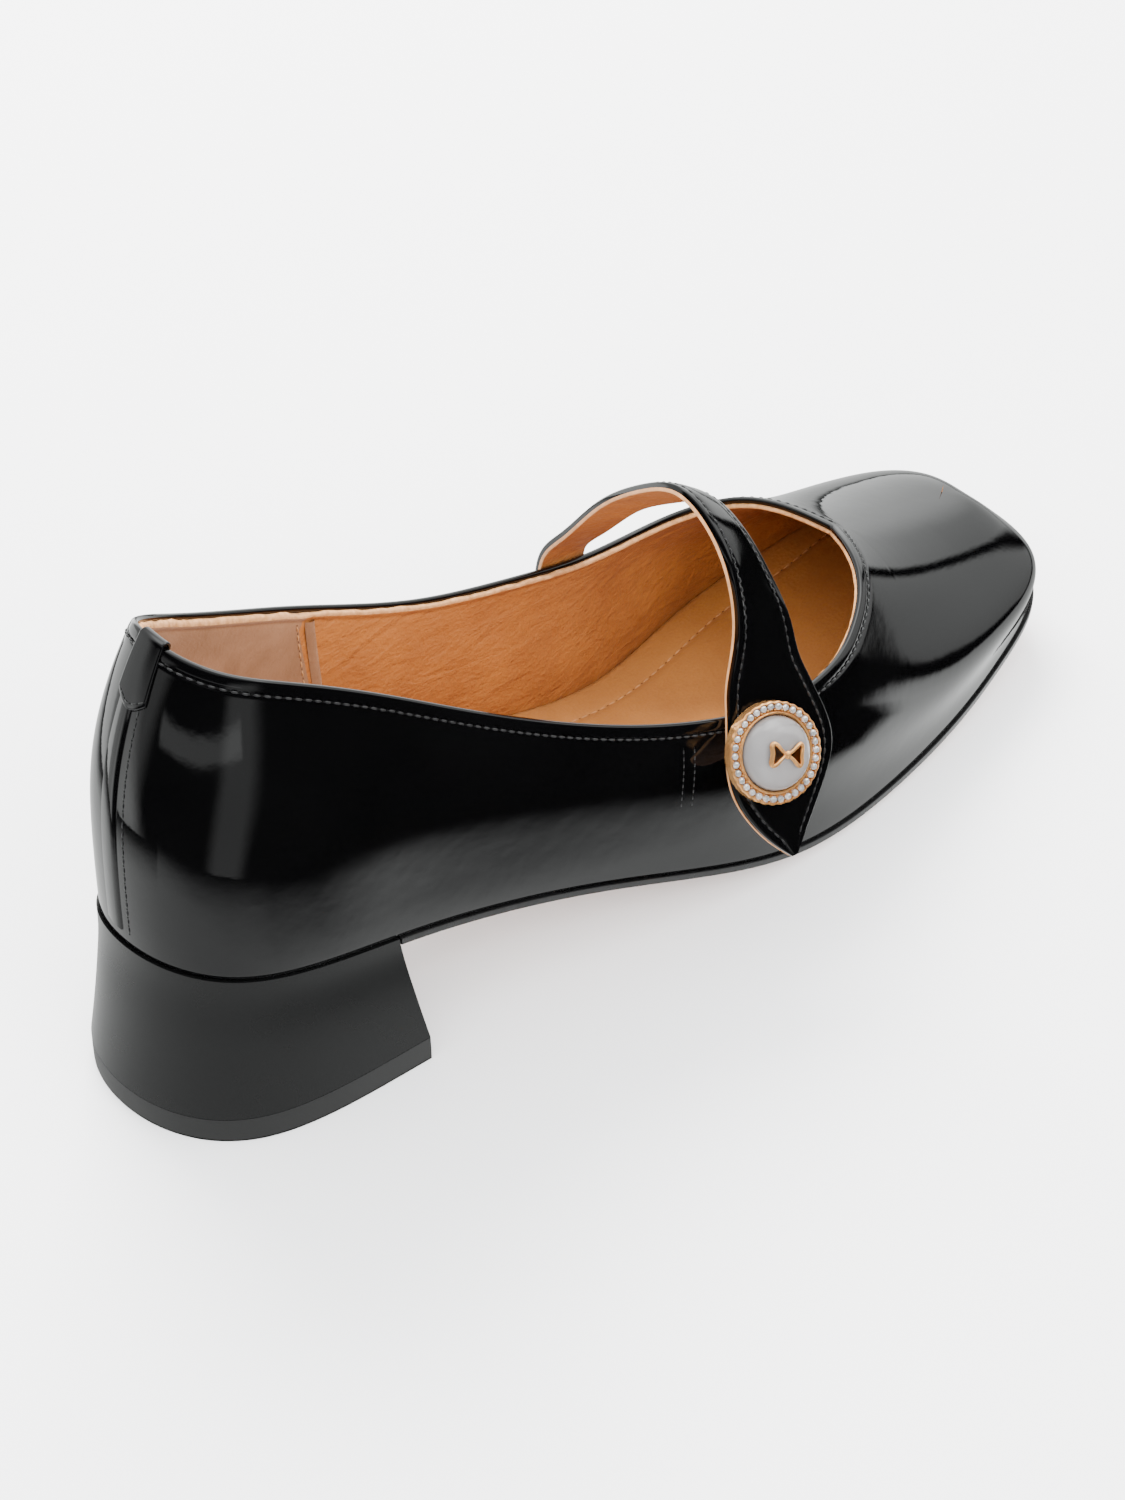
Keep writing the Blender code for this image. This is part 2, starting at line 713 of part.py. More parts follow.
def ornament():
    axes, centre = leaf_frame()
    centre = centre + axes[2] * CLEARANCE - axes[0] * ORNAMENT_BACK + axes[1] * ORNAMENT_UP
    place = Matrix.Translation(Vector(centre)) @ Matrix(axes.T.tolist()).to_4x4()
    inner = BEZEL_RADIUS - BEZEL_RIM
    bezel = [(0.0, 0.0), (BEZEL_RADIUS, 0.0)]
    bezel += [(BEZEL_RADIUS, BEZEL_HEIGHT), (inner, BEZEL_HEIGHT), (inner, BEZEL_FLOOR)]
    bezel += [(inner / 2, BEZEL_FLOOR), (0.0, BEZEL_FLOOR)]
    made = [piece("ornament_bezel", *turned(bezel, ROUND_SIDES), gold)]

    outer = inner - CLEARANCE
    floor = BEZEL_FLOOR + CLEARANCE
    stones = []
    for share_out, share_up in ((0, 0), (1, 0), (1, 0.55), (0.75, 1), (0.25, 1), (0, 0.55)):
        radius = outer - STONE_RING_WIDTH * (1 - share_out)
        stones.append((radius, floor + STONE_RING_HEIGHT * share_up))
    angle = 2 * np.pi * np.arange(ROUND_SIDES) / ROUND_SIDES
    vertices = []
    for radius, height in stones:
        vertices.extend(np.c_[radius * np.cos(angle), radius * np.sin(angle), height + angle * 0])
    faces = []
    for k in range(len(stones)):
        low = k * ROUND_SIDES
        high = (k + 1) % len(stones) * ROUND_SIDES
        for i in range(ROUND_SIDES):
            j = (i + 1) % ROUND_SIDES
            faces.append((low + i, low + j, high + j, high + i))
    made.append(piece("ornament_stones", np.array(vertices), faces, stone))

    dome = [(0.0, floor), (PEARL_RADIUS, floor)]
    for lean in np.radians((12, 26, 40, 54, 68, 80)):
        up = math.sin(lean) ** (2 / PEARL_POWER)
        dome.append((PEARL_RADIUS * math.cos(lean), floor + PEARL_RISE * up))
    top = floor + PEARL_RISE
    dome.append((0.0, top))
    made.append(piece("ornament_pearl", *turned(dome, ROUND_SIDES - 12), white))

    half = list(BOW)
    rows = half + [(-share, height, thick) for share, height, thick in half[-2::-1]]
    around = 2 * np.pi * np.arange(BOW_SIDES) / BOW_SIDES
    rings = []
    for share, height, thick in rows:
        x = np.full(BOW_SIDES, share * BOW_HALF_WIDTH)
        rise = top + CLEARANCE + BOW[-1][2] + thick * np.sin(around)
        rings.append(np.c_[x, height * np.cos(around), rise])
    vertices, faces = stacked(rings, BOW_SIDES // 2 + 1, True, True)
    turn = Matrix.Rotation(math.radians(BOW_TURN), 4, "Z")
    bow = piece("ornament_bow", vertices, faces, gold)
    bow.data.transform(turn)
    made.append(bow)
    for each in made:
        each.data.transform(place)


def centre_all():
    """Moves every piece so that the origin is the bottom centre of the whole shoe."""
    bpy.context.view_layer.update()
    graph = bpy.context.evaluated_depsgraph_get()
    corners = []
    for each in shoe.objects:
        corners.extend(each.evaluated_get(graph).bound_box)
    low = np.min(corners, axis=0)
    high = np.max(corners, axis=0)
    shift = Matrix.Translation((-(low[0] + high[0]) / 2, -(low[1] + high[1]) / 2, -low[2]))
    for each in shoe.objects:
        each.data.transform(shift)


for old in list(bpy.data.objects):
    bpy.data.objects.remove(old)

shoe = bpy.data.collections.new("mary_jane_pump")
bpy.context.scene.collection.children.link(shoe)
patent = finish_of("black_patent", BLACK_PATENT, 0.08)
lacquer = finish_of("black_lacquer", BLACK_LACQUER, 0.25)
rubber = finish_of("black_rubber", BLACK_RUBBER, 0.45)
tan = finish_of("tan_leather", TAN_LEATHER, 0.60)
gold = finish_of("rose_gold", ROSE_GOLD, 0.20, 1.0)
white = finish_of("pearl_white", PEARL_WHITE, 0.18)
stone = finish_of("clear_stone", STONE_CLEAR, 0.08)

last_form = Last()
upper()
heel_tab()
strap()
insole()
outsole()
heel_block()
heel_lift()
ornament()
centre_all()
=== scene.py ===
"""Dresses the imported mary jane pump: patent upper with a rolled topline, tan lining and sock,
stitched strap, pearl ornament, sole and heel, on a pale studio floor. Metres, in the row frame."""

import math

import bmesh
import bpy
import numpy as np
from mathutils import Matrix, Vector


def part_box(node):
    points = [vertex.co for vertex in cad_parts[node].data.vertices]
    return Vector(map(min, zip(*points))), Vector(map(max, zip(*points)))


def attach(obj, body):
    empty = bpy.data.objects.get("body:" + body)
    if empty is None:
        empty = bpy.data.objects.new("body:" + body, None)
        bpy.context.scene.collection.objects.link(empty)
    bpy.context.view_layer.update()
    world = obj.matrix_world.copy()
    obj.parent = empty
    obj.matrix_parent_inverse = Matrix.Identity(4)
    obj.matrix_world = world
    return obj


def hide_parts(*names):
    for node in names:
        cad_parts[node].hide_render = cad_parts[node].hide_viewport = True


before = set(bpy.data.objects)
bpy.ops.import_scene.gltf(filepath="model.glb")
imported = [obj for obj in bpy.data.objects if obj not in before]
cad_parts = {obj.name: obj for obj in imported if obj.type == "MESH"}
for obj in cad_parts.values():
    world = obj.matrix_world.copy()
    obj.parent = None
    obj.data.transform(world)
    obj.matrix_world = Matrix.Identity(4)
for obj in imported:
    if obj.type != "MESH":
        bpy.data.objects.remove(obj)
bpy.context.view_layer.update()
rng = np.random.default_rng(7)
MM = 0.001

# Sizes of the last, as in the part's source
UPPER_LENGTH = 0.246
BALL_WIDTH = 0.0785
HEEL_RISE = 0.0386
TOE_SPRING = 0.0103
INSTEP_HEIGHT = 0.088
TOE_HEIGHT = 0.0232
FULLNESS = 0.0035
SWELL_REACH = 0.95
SWELL_POWER = 3
SPINE_BACK = 0.042
SPINE_FRONT_INSET = 0.0065
SPINE_BLEND = 0.014
CROWN = 0.0032
CROWN_HALF_WIDTH = 0.038
SIDE_POWER = 2.82
TOP_POWER = 1.9
THROAT = 0.190
THROAT_SKEW = 0.0035
THROAT_SKEW_REACH = 0.030
CLEARANCE = 0.0003
SOLE_LIP = 0.0006
SOLE_EDGE = 0.0019
SOLE_THICKNESS = 0.0038
SOLE_BEVEL = 0.009
TREAD_DEPTH = 0.0002
BREAST = 0.0458
BREAST_SLANT = 0.0030
HEEL_FLARE = 0.0047
LIFT_HEIGHT = 0.0060
STRAP_THICKNESS = 0.0020
# Step for slopes found by difference, in stations and in shares of the feather line
FINE_STEP = 1e-5

# Feather outline: share of length, then share of ball width to the lateral and medial side
OUTLINE = (
    (0.000, 0.000, 0.000),
    (0.012, 0.162, 0.145),
    (0.045, 0.275, 0.229),
    (0.110, 0.333, 0.303),
    (0.200, 0.352, 0.337),
    (0.320, 0.400, 0.341),
    (0.440, 0.470, 0.335),
    (0.550, 0.522, 0.352),
    (0.650, 0.523, 0.413),
    (0.740, 0.490, 0.475),
    (0.830, 0.436, 0.488),
    (0.905, 0.373, 0.458),
    (0.960, 0.308, 0.388),
    (0.990, 0.222, 0.282),
    (1.000, 0.083, 0.135),
)
# Feather height: share of length, share of heel rise, share of toe spring
FEATHER = (
    (0.00, 1.000, 0.00),
    (0.13, 0.821, 0.00),
    (0.26, 0.655, 0.00),
    (0.38, 0.460, 0.00),
    (0.50, 0.205, 0.00),
    (0.60, 0.035, 0.00),
    (0.70, 0.000, 0.00),
    (0.80, 0.000, 0.11),
    (0.90, 0.000, 0.45),
    (1.00, 0.000, 1.00),
)
FOREFOOT_LEVEL = SOLE_THICKNESS + CLEARANCE - TREAD_DEPTH
# Ridge over the feather: share of length, share of instep height, share of toe height
RIDGE = (
    (0.00, 0.900, 0.00),
    (0.12, 0.990, 0.00),
    (0.25, 1.010, 0.00),
    (0.38, 0.980, 0.00),
    (0.50, 0.920, 0.00),
    (0.60, 0.820, 0.00),
    (0.68, 0.680, 0.00),
    (0.76, 0.485, 0.10),
    (0.85, 0.180, 0.72),
    (0.93, 0.000, 1.00),
    (1.00, 0.000, 0.66),
)
# Topline: share of the way to the throat, then how far out it lies on the lateral and medial side
COLLAR = (
    (0.000, 0.656, 0.656),
    (0.147, 0.735, 0.800),
    (0.324, 0.838, 0.885),
    (0.500, 0.890, 0.918),
    (0.676, 0.876, 0.890),
    (0.809, 0.817, 0.840),
    (0.897, 0.691, 0.732),
    (0.956, 0.423, 0.471),
    (1.000, 0.000, 0.000),
)
# Outward swell of the sides: share of length, lateral and medial share of fullness
SWELL = (
    (0.00, 0.30, 0.30),
    (0.15, 0.90, 0.60),
    (0.35, 0.95, 1.15),
    (0.55, 1.15, 1.00),
    (0.75, 1.00, 0.80),
    (0.90, 0.85, 0.40),
    (1.00, 0.55, 0.55),
)
# Flare of the heel: share of the way down, share of the flare
HEEL_PROFILE = (
    (0.00, 0.00),
    (0.12, 0.03),
    (0.40, 0.27),
    (0.70, 0.61),
    (1.00, 1.00),
)
# Leaf at the strap's lateral end, in its own plane: way down from its middle, then how far ahead of
# that middle the rear and the front edge lie
STRAP_LEAF = (
    (-0.0161, -0.0088, 0.0096),
    (-0.0082, -0.0120, 0.0104),
    (-0.0042, -0.0137, 0.0107),
    (0.0000, -0.0149, 0.0104),
    (0.0046, -0.0151, 0.0084),
    (0.0096, -0.0140, 0.0040),
    (0.0143, -0.0120, -0.0008),
    (0.0179, -0.0098, -0.0045),
    (0.0201, -0.0082, -0.0068),
)
# Strap sewn on the medial side, from its foot to the topline: height, then x of the rear edge and of
# the front edge
STRAP_BASE = (
    (0.0250, 0.1310, 0.1440),
    (0.0320, 0.1310, 0.1440),
    (0.0400, 0.1310, 0.1440),
    (0.0440, 0.1309, 0.1438),
)
# Free part of the strap over the instep: x, y, z of the rear edge, then of the front edge
STRAP_ARC = (
    (0.1308, 0.0289, 0.0500, 0.1436, 0.0289, 0.0480),
    (0.1308, 0.0218, 0.0608, 0.1426, 0.0210, 0.0575),
    (0.1304, 0.0090, 0.0770, 0.1421, 0.0085, 0.0712),
    (0.1300, -0.0050, 0.0895, 0.1415, -0.0045, 0.0810),
    (0.1296, -0.0179, 0.0951, 0.1411, -0.0150, 0.0860),
    (0.1296, -0.0278, 0.0896, 0.1415, -0.0243, 0.0823),
    (0.1292, -0.0334, 0.0806, 0.1424, -0.0310, 0.0746),
    (0.1278, -0.0362, 0.0672, 0.1426, -0.0370, 0.0661),
)
STRAP_CROWN = 0.0006
# Station and out where the search for the strap's sewn part starts
STRAP_BASE_GUESS = (6.9, 0.95)
# Middle of the leaf; how far its outward side is tipped up and turned to the back; the stretch of the
# lateral topline that it rests on
LEAF_X = 0.1320
LEAF_Z = 0.0455
LEAF_LEAN = math.radians(32.5)
LEAF_TURN = math.radians(10.0)
LEAF_REST = (0.1212, 0.1450)
# Centre of the ornament, from the leaf's middle
ORNAMENT_BACK = 0.0048
ORNAMENT_UP = 0.0020


class Curve:
    """A twice smooth cubic through the rows of a table; closed loops repeat their first row."""

    def __init__(self, at, values, closed=False):
        self.at = np.asarray(at, float)
        self.values = np.asarray(values, float).reshape(len(self.at), -1)
        step = np.diff(self.at)
        rise = np.diff(self.values, axis=0) / step[:, None]
        count = len(self.at)
        system = np.zeros((count, count))
        target = np.zeros_like(self.values)
        for i in range(1, count - 1):
            system[i, i - 1 : i + 2] = step[i], 2 * (step[i - 1] + step[i]), step[i - 1]
            target[i] = 3 * (step[i] * rise[i - 1] + step[i - 1] * rise[i])
        if closed:
            system[0, [0, -1]] = 1, -1
            system[-1, [1, 0, -2]] = step[-1], 2 * (step[-1] + step[0]), step[0]
            target[-1] = 3 * (step[0] * rise[-1] + step[-1] * rise[0])
        else:
            system[0, :2] = 2, 1
            target[0] = 3 * rise[0]
            system[-1, -2:] = 1, 2
            target[-1] = 3 * rise[-1]
        self.slopes = np.linalg.solve(system, target)

    def __call__(self, t):
        t = np.asarray(t, float)
        i = np.clip(np.searchsorted(self.at, t, "right") - 1, 0, len(self.at) - 2)
        step = (self.at[i + 1] - self.at[i])[..., None]
        u = ((t - self.at[i]) / step[..., 0])[..., None]
        start = self.values[i] * (1 + 2 * u) * (1 - u) ** 2 + self.slopes[i] * step * u * (1 - u) ** 2
        end = self.values[i + 1] * u * u * (3 - 2 * u) - self.slopes[i + 1] * step * u * u * (1 - u)
        found = start + end
        return found[..., 0] if self.values.shape[1] == 1 else found


def column(table, which):
    return np.array([row[which] for row in table])


def soft_floor(x, low, blend):
    """x where it is well over low, easing to low below it."""
    return low + blend * np.logaddexp(0.0, (x - low) / blend)


def smooth(x, low, high):
    u = np.clip((x - low) / (high - low), 0, 1)
    return u * u * (3 - 2 * u)


def unit(v):
    return v / np.linalg.norm(v, axis=-1, keepdims=True)


class Last:
    """The last's surface. A station s runs along both feather lines from the back (0) to the toe,
    and out runs from 1 on the feather line to 0 on the ridge. Side is -1 lateral, 1 medial."""

    def __init__(self):
        along = column(OUTLINE, 0) * UPPER_LENGTH
        lateral = np.c_[along, -column(OUTLINE, 1) * BALL_WIDTH]
        medial = np.c_[along, column(OUTLINE, 2) * BALL_WIDTH]
        tip = (lateral[-1:] + medial[-1:]) / 2
        loop = np.vstack([lateral, tip, medial[:0:-1], lateral[:1]])
        chords = np.linalg.norm(np.diff(loop, axis=0), axis=1) ** 0.75
        at = np.concatenate([[0.0], np.cumsum(chords)])
        self.last_station = len(lateral)
        self.feather_line = Curve(at, loop, closed=True)
        self.knots = {-1: at[: self.last_station + 1], 1: at[: self.last_station - 1 : -1]}
        heights = FOREFOOT_LEVEL + column(FEATHER, 1) * HEEL_RISE + column(FEATHER, 2) * TOE_SPRING
        self.feather = Curve(column(FEATHER, 0) * UPPER_LENGTH, heights)
        rise = column(RIDGE, 1) * INSTEP_HEIGHT + column(RIDGE, 2) * TOE_HEIGHT
        self.ridge = Curve(column(RIDGE, 0) * UPPER_LENGTH, rise)
        self.collar = {}
        self.swell = {}
        for side, which in ((-1, 1), (1, 2)):
            self.collar[side] = Curve(column(COLLAR, 0) * THROAT, column(COLLAR, which))
            self.swell[side] = Curve(column(SWELL, 0) * UPPER_LENGTH, column(SWELL, which))
        share = np.array([0.12, 0.30, 0.45, 0.60, 0.75, 0.88])
        self.middle_span = share[[0, -1]] * UPPER_LENGTH
        points = np.array([self.middle(self.station(k * UPPER_LENGTH)) for k in share])
        self.middle_line = Curve(points[:, 0], points[:, 1])

    def edge(self, side, s):
        """Feather line in plan, with its outward normal."""
        t = np.interp(s, np.arange(self.last_station + 1), self.knots[side])
        small = FINE_STEP * self.knots[-1][-1]
        ahead = unit(self.feather_line(t + small) - self.feather_line(t - small))
        return self.feather_line(t), np.stack([ahead[..., 1], -ahead[..., 0]], -1)

    def middle(self, s):
        return (self.edge(-1, s)[0] + self.edge(1, s)[0]) / 2

    def station(self, x, side=0):
        """Station whose middle, or whose feather line on one side, lies at x."""
        low, high = 0.0, float(self.last_station - abs(side))
        for _ in range(50):
            half = (low + high) / 2
            here = self.edge(side, half)[0][0] if side else self.middle(half)[0]
            low, high = (half, high) if here < x else (low, half)
        return (low + high) / 2

    def spine(self, s):
        """Ridge point in plan: the middle line, eased off at both ends."""
        front = UPPER_LENGTH - SPINE_FRONT_INSET
        x = soft_floor(self.middle(s)[..., 0], SPINE_BACK, SPINE_BLEND)
        x = -soft_floor(-x, -front, SPINE_BLEND)
        return np.stack([x, self.middle_y(x)], -1)

    def middle_y(self, x):
        skew = THROAT_SKEW * np.exp(-(((x - THROAT) / THROAT_SKEW_REACH) ** 2))
        return self.middle_line(np.clip(x, *self.middle_span)) - skew

    def height(self, x, y):
        """Ridge height at a point in plan, lower to both sides so that the ridge has no crease."""
        x = np.clip(x, 0.0, UPPER_LENGTH)
        return self.feather(x) + self.ridge(x) - CROWN * ((y - self.middle_y(x)) / CROWN_HALF_WIDTH) ** 2

    def point(self, side, s, out):
        """Outer face of the upper."""
        s, out = np.broadcast_arrays(np.asarray(s, float), np.asarray(out, float))
        edge, normal = self.edge(side, s)
        x_along = np.clip(edge[..., 0], 0.0, UPPER_LENGTH)
        up = np.clip(1 - np.abs(out) ** SIDE_POWER, 0, 1) ** (1 / TOP_POWER)
        bump = np.sin(np.pi * np.clip(up / SWELL_REACH, 0, 1)) ** SWELL_POWER
        swell = FULLNESS * self.swell[side](x_along) * bump
        plan = edge + (self.spine(s) - edge) * (1 - out)[..., None] + normal * swell[..., None]
        z = self.feather(x_along) * (1 - up) + self.height(plan[..., 0], plan[..., 1]) * up
        return np.concatenate([plan, z[..., None]], -1)

    def normal(self, side, s, out):
        """Outward normal. Steep places are differenced by section angle, flat ones by out."""
        s, out = np.broadcast_arrays(np.asarray(s, float), np.asarray(out, float))
        step = 1e-3
        ahead = self.point(side, s + step, out) - self.point(side, s - step, out)
        lean = np.maximum(lean_of(np.clip(out, 0.3, 1)), step)
        by_lean = self.point(side, s, out_of(lean + step)) - self.point(side, s, out_of(lean - step))
        by_out = self.point(side, s, out - step) - self.point(side, s, np.minimum(out + step, 1))
        upward = np.where((out > 0.5)[..., None], by_lean, by_out)
        return unit(np.cross(ahead, upward) * -side)

    def skin(self, side, s, out, lift=0.0):
        """Outer face, lifted along its normal."""
        found = self.point(side, s, out)
        lift = np.asarray(lift, float)
        if not lift.any():
            return found
        return found + lift[..., None] * self.normal(side, s, out)

    def find(self, side, targets, picked, start, lift=0.0):
        """Stations and outs where the picked coordinates of the lifted skin meet the targets."""
        targets = np.asarray(targets, float)
        s = np.full(len(targets), float(start[0]))
        out = np.full(len(targets), float(start[1]))
        lift = np.full(len(targets), lift)
        for _ in range(40):
            here = picked(self.skin(side, s, out, lift))
            by_s = (picked(self.skin(side, s + FINE_STEP, out, lift)) - here) / FINE_STEP
            by_out = (here - picked(self.skin(side, s, out - FINE_STEP, lift))) / FINE_STEP
            miss = targets - here
            scale = by_s[:, 0] * by_out[:, 1] - by_s[:, 1] * by_out[:, 0]
            more_s = (miss[:, 0] * by_out[:, 1] - miss[:, 1] * by_out[:, 0]) / scale
            more_out = (by_s[:, 0] * miss[:, 1] - by_s[:, 1] * miss[:, 0]) / scale
            s += np.clip(more_s, -1, 1)
            out = np.clip(out + np.clip(more_out, -0.1, 0.1), 0.02, 1 - 1e-6)
            if max(np.abs(more_s).max(), np.abs(more_out).max()) < 1e-7:
                break
        return s, out


def lean_of(out):
    """Section angle of an out value, 0 on the feather line."""
    return np.arccos(np.clip(out, 0, 1) ** (SIDE_POWER / 2))


def out_of(lean):
    return np.cos(np.clip(lean, 0, np.pi / 2)) ** (2 / SIDE_POWER)


last = Last()
sample_s = np.linspace(0, last.last_station, 400)
sample = np.concatenate([last.point(side, sample_s[:, None], np.linspace(1, 0.5, 40)) for side in (-1, 1)])
upper_low, upper_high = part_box("upper")
# From the last's own axes to the row frame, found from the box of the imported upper
SHIFT = np.array(
    [
        upper_high[0] - sample[..., 0].max(),
        (upper_low[1] + upper_high[1] - sample[..., 1].min() - sample[..., 1].max()) / 2,
        0.0,
    ]
)

# Materials


class Nodes:
    """A material's node tree, built from a Principled shader."""

    def __init__(self, name, colour, roughness, metallic=0.0, **values):
        self.material = bpy.data.materials.new(name)
        self.material.use_nodes = True
        self.tree = self.material.node_tree
        self.shader = self.tree.nodes["Principled BSDF"]
        self.set("Base Color", (*colour, 1.0))
        self.set("Roughness", roughness)
        self.set("Metallic", metallic)
        for key, value in values.items():
            self.set(key.replace("_", " "), value)
        self.where = self.tree.nodes.new("ShaderNodeTexCoord").outputs["Object"]
        self.bumped = None

    def set(self, socket, value):
        self.shader.inputs[socket].default_value = value

    def stretched(self, stretch):
        if stretch is None:
            return self.where
        mapping = self.tree.nodes.new("ShaderNodeMapping")
        mapping.inputs["Scale"].default_value = stretch
        self.tree.links.new(self.where, mapping.inputs["Vector"])
        return mapping.outputs["Vector"]

    def noise(self, scale, detail=2.0, rough=0.5, stretch=None, warp=0.0):
        where = self.stretched(stretch)
        node = self.tree.nodes.new("ShaderNodeTexNoise")
        node.inputs["Scale"].default_value = scale
        node.inputs["Detail"].default_value = detail
        node.inputs["Roughness"].default_value = rough
        node.inputs["Distortion"].default_value = warp
        self.tree.links.new(where, node.inputs["Vector"])
        return node.outputs["Fac"]

    def cells(self, scale, stretch):
        where = self.stretched(stretch)
        node = self.tree.nodes.new("ShaderNodeTexVoronoi")
        node.inputs["Scale"].default_value = scale
        self.tree.links.new(where, node.inputs["Vector"])
        return node.outputs["Distance"]

    def ramp(self, value, low, high, low_at=0.0, high_at=1.0):
        node = self.tree.nodes.new("ShaderNodeMapRange")
        node.inputs["From Min"].default_value = low_at
        node.inputs["From Max"].default_value = high_at
        node.inputs["To Min"].default_value = low
        node.inputs["To Max"].default_value = high
        self.tree.links.new(value, node.inputs["Value"])
        return node.outputs["Result"]

    def bump(self, value, distance, strength=1.0):
        node = self.tree.nodes.new("ShaderNodeBump")
        node.inputs["Strength"].default_value = strength
        node.inputs["Distance"].default_value = distance
        self.tree.links.new(value, node.inputs["Height"])
        if self.bumped:
            self.tree.links.new(self.bumped, node.inputs["Normal"])
        self.bumped = node.outputs["Normal"]
        self.tree.links.new(self.bumped, self.shader.inputs["Normal"])
        return self

    def drive(self, value, socket):
        self.tree.links.new(value, self.shader.inputs[socket])
        return self

    def tint(self, value, dark, light):
        """Base colour between two colours by a value from 0 to 1."""
        node = self.tree.nodes.new("ShaderNodeMix")
        node.data_type = "RGBA"
        node.inputs["A"].default_value = (*dark, 1.0)
        node.inputs["B"].default_value = (*light, 1.0)
        self.tree.links.new(value, node.inputs["Factor"])
        self.tree.links.new(node.outputs["Result"], self.shader.inputs["Base Color"])
        return self


def black_patent():
    look = Nodes("black_patent", (0.0009, 0.0009, 0.001), 0.06, Specular_IOR_Level=0.5)
    look.bump(look.noise(75.0, 2.0, 0.5), 0.00012, 0.5)
    look.bump(look.noise(330.0, 2.0, 0.5), 0.00003, 0.5)
    look.bump(look.noise(900.0, 3.0, 0.55), 0.000008, 0.5)
    look.drive(look.ramp(look.noise(60.0, 4.0), 0.03, 0.08, 0.3, 0.7), "Roughness")
    tone = look.ramp(look.noise(35.0), 0.0, 1.0, 0.3, 0.7)
    look.tint(tone, (0.0007, 0.0007, 0.0008), (0.0011, 0.0011, 0.0012))
    return look.material


def leather(name, dark, light, roughness, grain, creases, coat):
    """Tan leather: a fine grain, long soft creases and uneven colour."""
    look = Nodes(name, light, roughness, Specular_IOR_Level=0.35)
    look.set("Coat Weight", coat)
    look.set("Coat Roughness", 0.35)
    look.set("Sheen Weight", 0.02)
    look.set("Sheen Roughness", 0.5)
    tone = look.noise(45.0, 5.0, 0.6)
    look.tint(look.ramp(tone, 0.0, 1.0, 0.3, 0.72), dark, light)
    look.bump(look.noise(95.0, 3.0, 0.55, (0.45, 1.0, 1.5), 1.2), 0.0011, creases)
    look.bump(look.noise(260.0, 3.0, 0.6, (0.7, 1.0, 1.3), 0.6), 0.0007, creases)
    look.bump(look.cells(1150.0, (0.8, 1.2, 1.2)), 0.00016, grain)
    look.bump(look.noise(420.0, 4.0, 0.6), 0.00020, grain)
    look.drive(look.ramp(look.noise(240.0, 3.0), roughness - 0.08, roughness + 0.10, 0.3, 0.7), "Roughness")
    return look.material


def suede():
    look = Nodes("pinkish_suede", (0.50, 0.27, 0.15), 0.92, Specular_IOR_Level=0.2)
    look.set("Sheen Weight", 0.15)
    look.set("Sheen Roughness", 0.4)
    look.set("Sheen Tint", (1.0, 0.78, 0.62, 1.0))
    nap = look.noise(70.0, 5.0, 0.65, warp=0.8)
    look.tint(look.ramp(nap, 0.0, 1.0, 0.32, 0.68), (0.200, 0.100, 0.050), (0.270, 0.142, 0.076))
    look.bump(look.noise(1500.0, 4.0, 0.7), 0.00018, 0.8)
    look.bump(nap, 0.0004, 0.3)
    return look.material


def raw_edge():
    look = Nodes("raw_lining_edge", (0.74, 0.45, 0.26), 0.95, Specular_IOR_Level=0.15)
    tone = look.ramp(look.noise(900.0, 3.0), 0.0, 1.0, 0.3, 0.7)
    look.tint(tone, (0.36, 0.170, 0.065), (0.56, 0.300, 0.140))
    look.bump(look.noise(2200.0, 4.0, 0.7), 0.0002, 0.9)
    return look.material


def plain(name, colour, roughness, fine_scale, bump_depth, uneven=0.18, **values):
    """A firm surface with a little unevenness in tone, gloss and relief."""
    look = Nodes(name, colour, roughness, **values)
    tone = look.ramp(look.noise(fine_scale / 4, 3.0), 0.0, 1.0, 0.3, 0.7)
    look.tint(tone, [c * (1 - uneven) for c in colour], [min(1.0, c * (1 + uneven)) for c in colour])
    look.bump(look.noise(fine_scale, 3.0), bump_depth, 0.5)
    rougher = look.ramp(look.noise(fine_scale / 3, 4.0), 1 - uneven, 1 + uneven, 0.3, 0.7)
    level = look.tree.nodes.new("ShaderNodeMath")
    level.operation = "MULTIPLY"
    level.inputs[1].default_value = roughness
    look.tree.links.new(rougher, level.inputs[0])
    look.drive(level.outputs["Value"], "Roughness")
    return look.material


def pearl_lacquer():
    look = Nodes("pearl_lacquer", (0.86, 0.84, 0.82), 0.22, Specular_IOR_Level=0.6)
    look.set("Coat Weight", 0.9)
    look.set("Coat Roughness", 0.06)
    look.set("Subsurface Weight", 0.25)
    look.set("Subsurface Radius", (0.002, 0.0016, 0.0014))
    # Base colour darker and warmer towards the pearl's outline as the camera sees it: painted shade on its
    # rim.
    facing = look.tree.nodes.new("ShaderNodeLayerWeight")
    facing.inputs["Blend"].default_value = 0.35
    look.tint(facing.outputs["Facing"], (0.155, 0.150, 0.148), (0.125, 0.104, 0.097))
    look.bump(look.noise(500.0, 2.0), 0.00001, 0.3)
    return look.material


def clear_stone():
    look = Nodes("clear_stone", (0.86, 0.87, 0.88), 0.04, 0.75, Specular_IOR_Level=0.9)
    look.set("Coat Weight", 1.0)
    look.set("Coat Roughness", 0.02)
    tone = look.ramp(look.noise(700.0, 1.0), 0.0, 1.0, 0.35, 0.65)
    look.tint(tone, (0.55, 0.56, 0.56), (0.97, 0.97, 0.96))
    return look.material


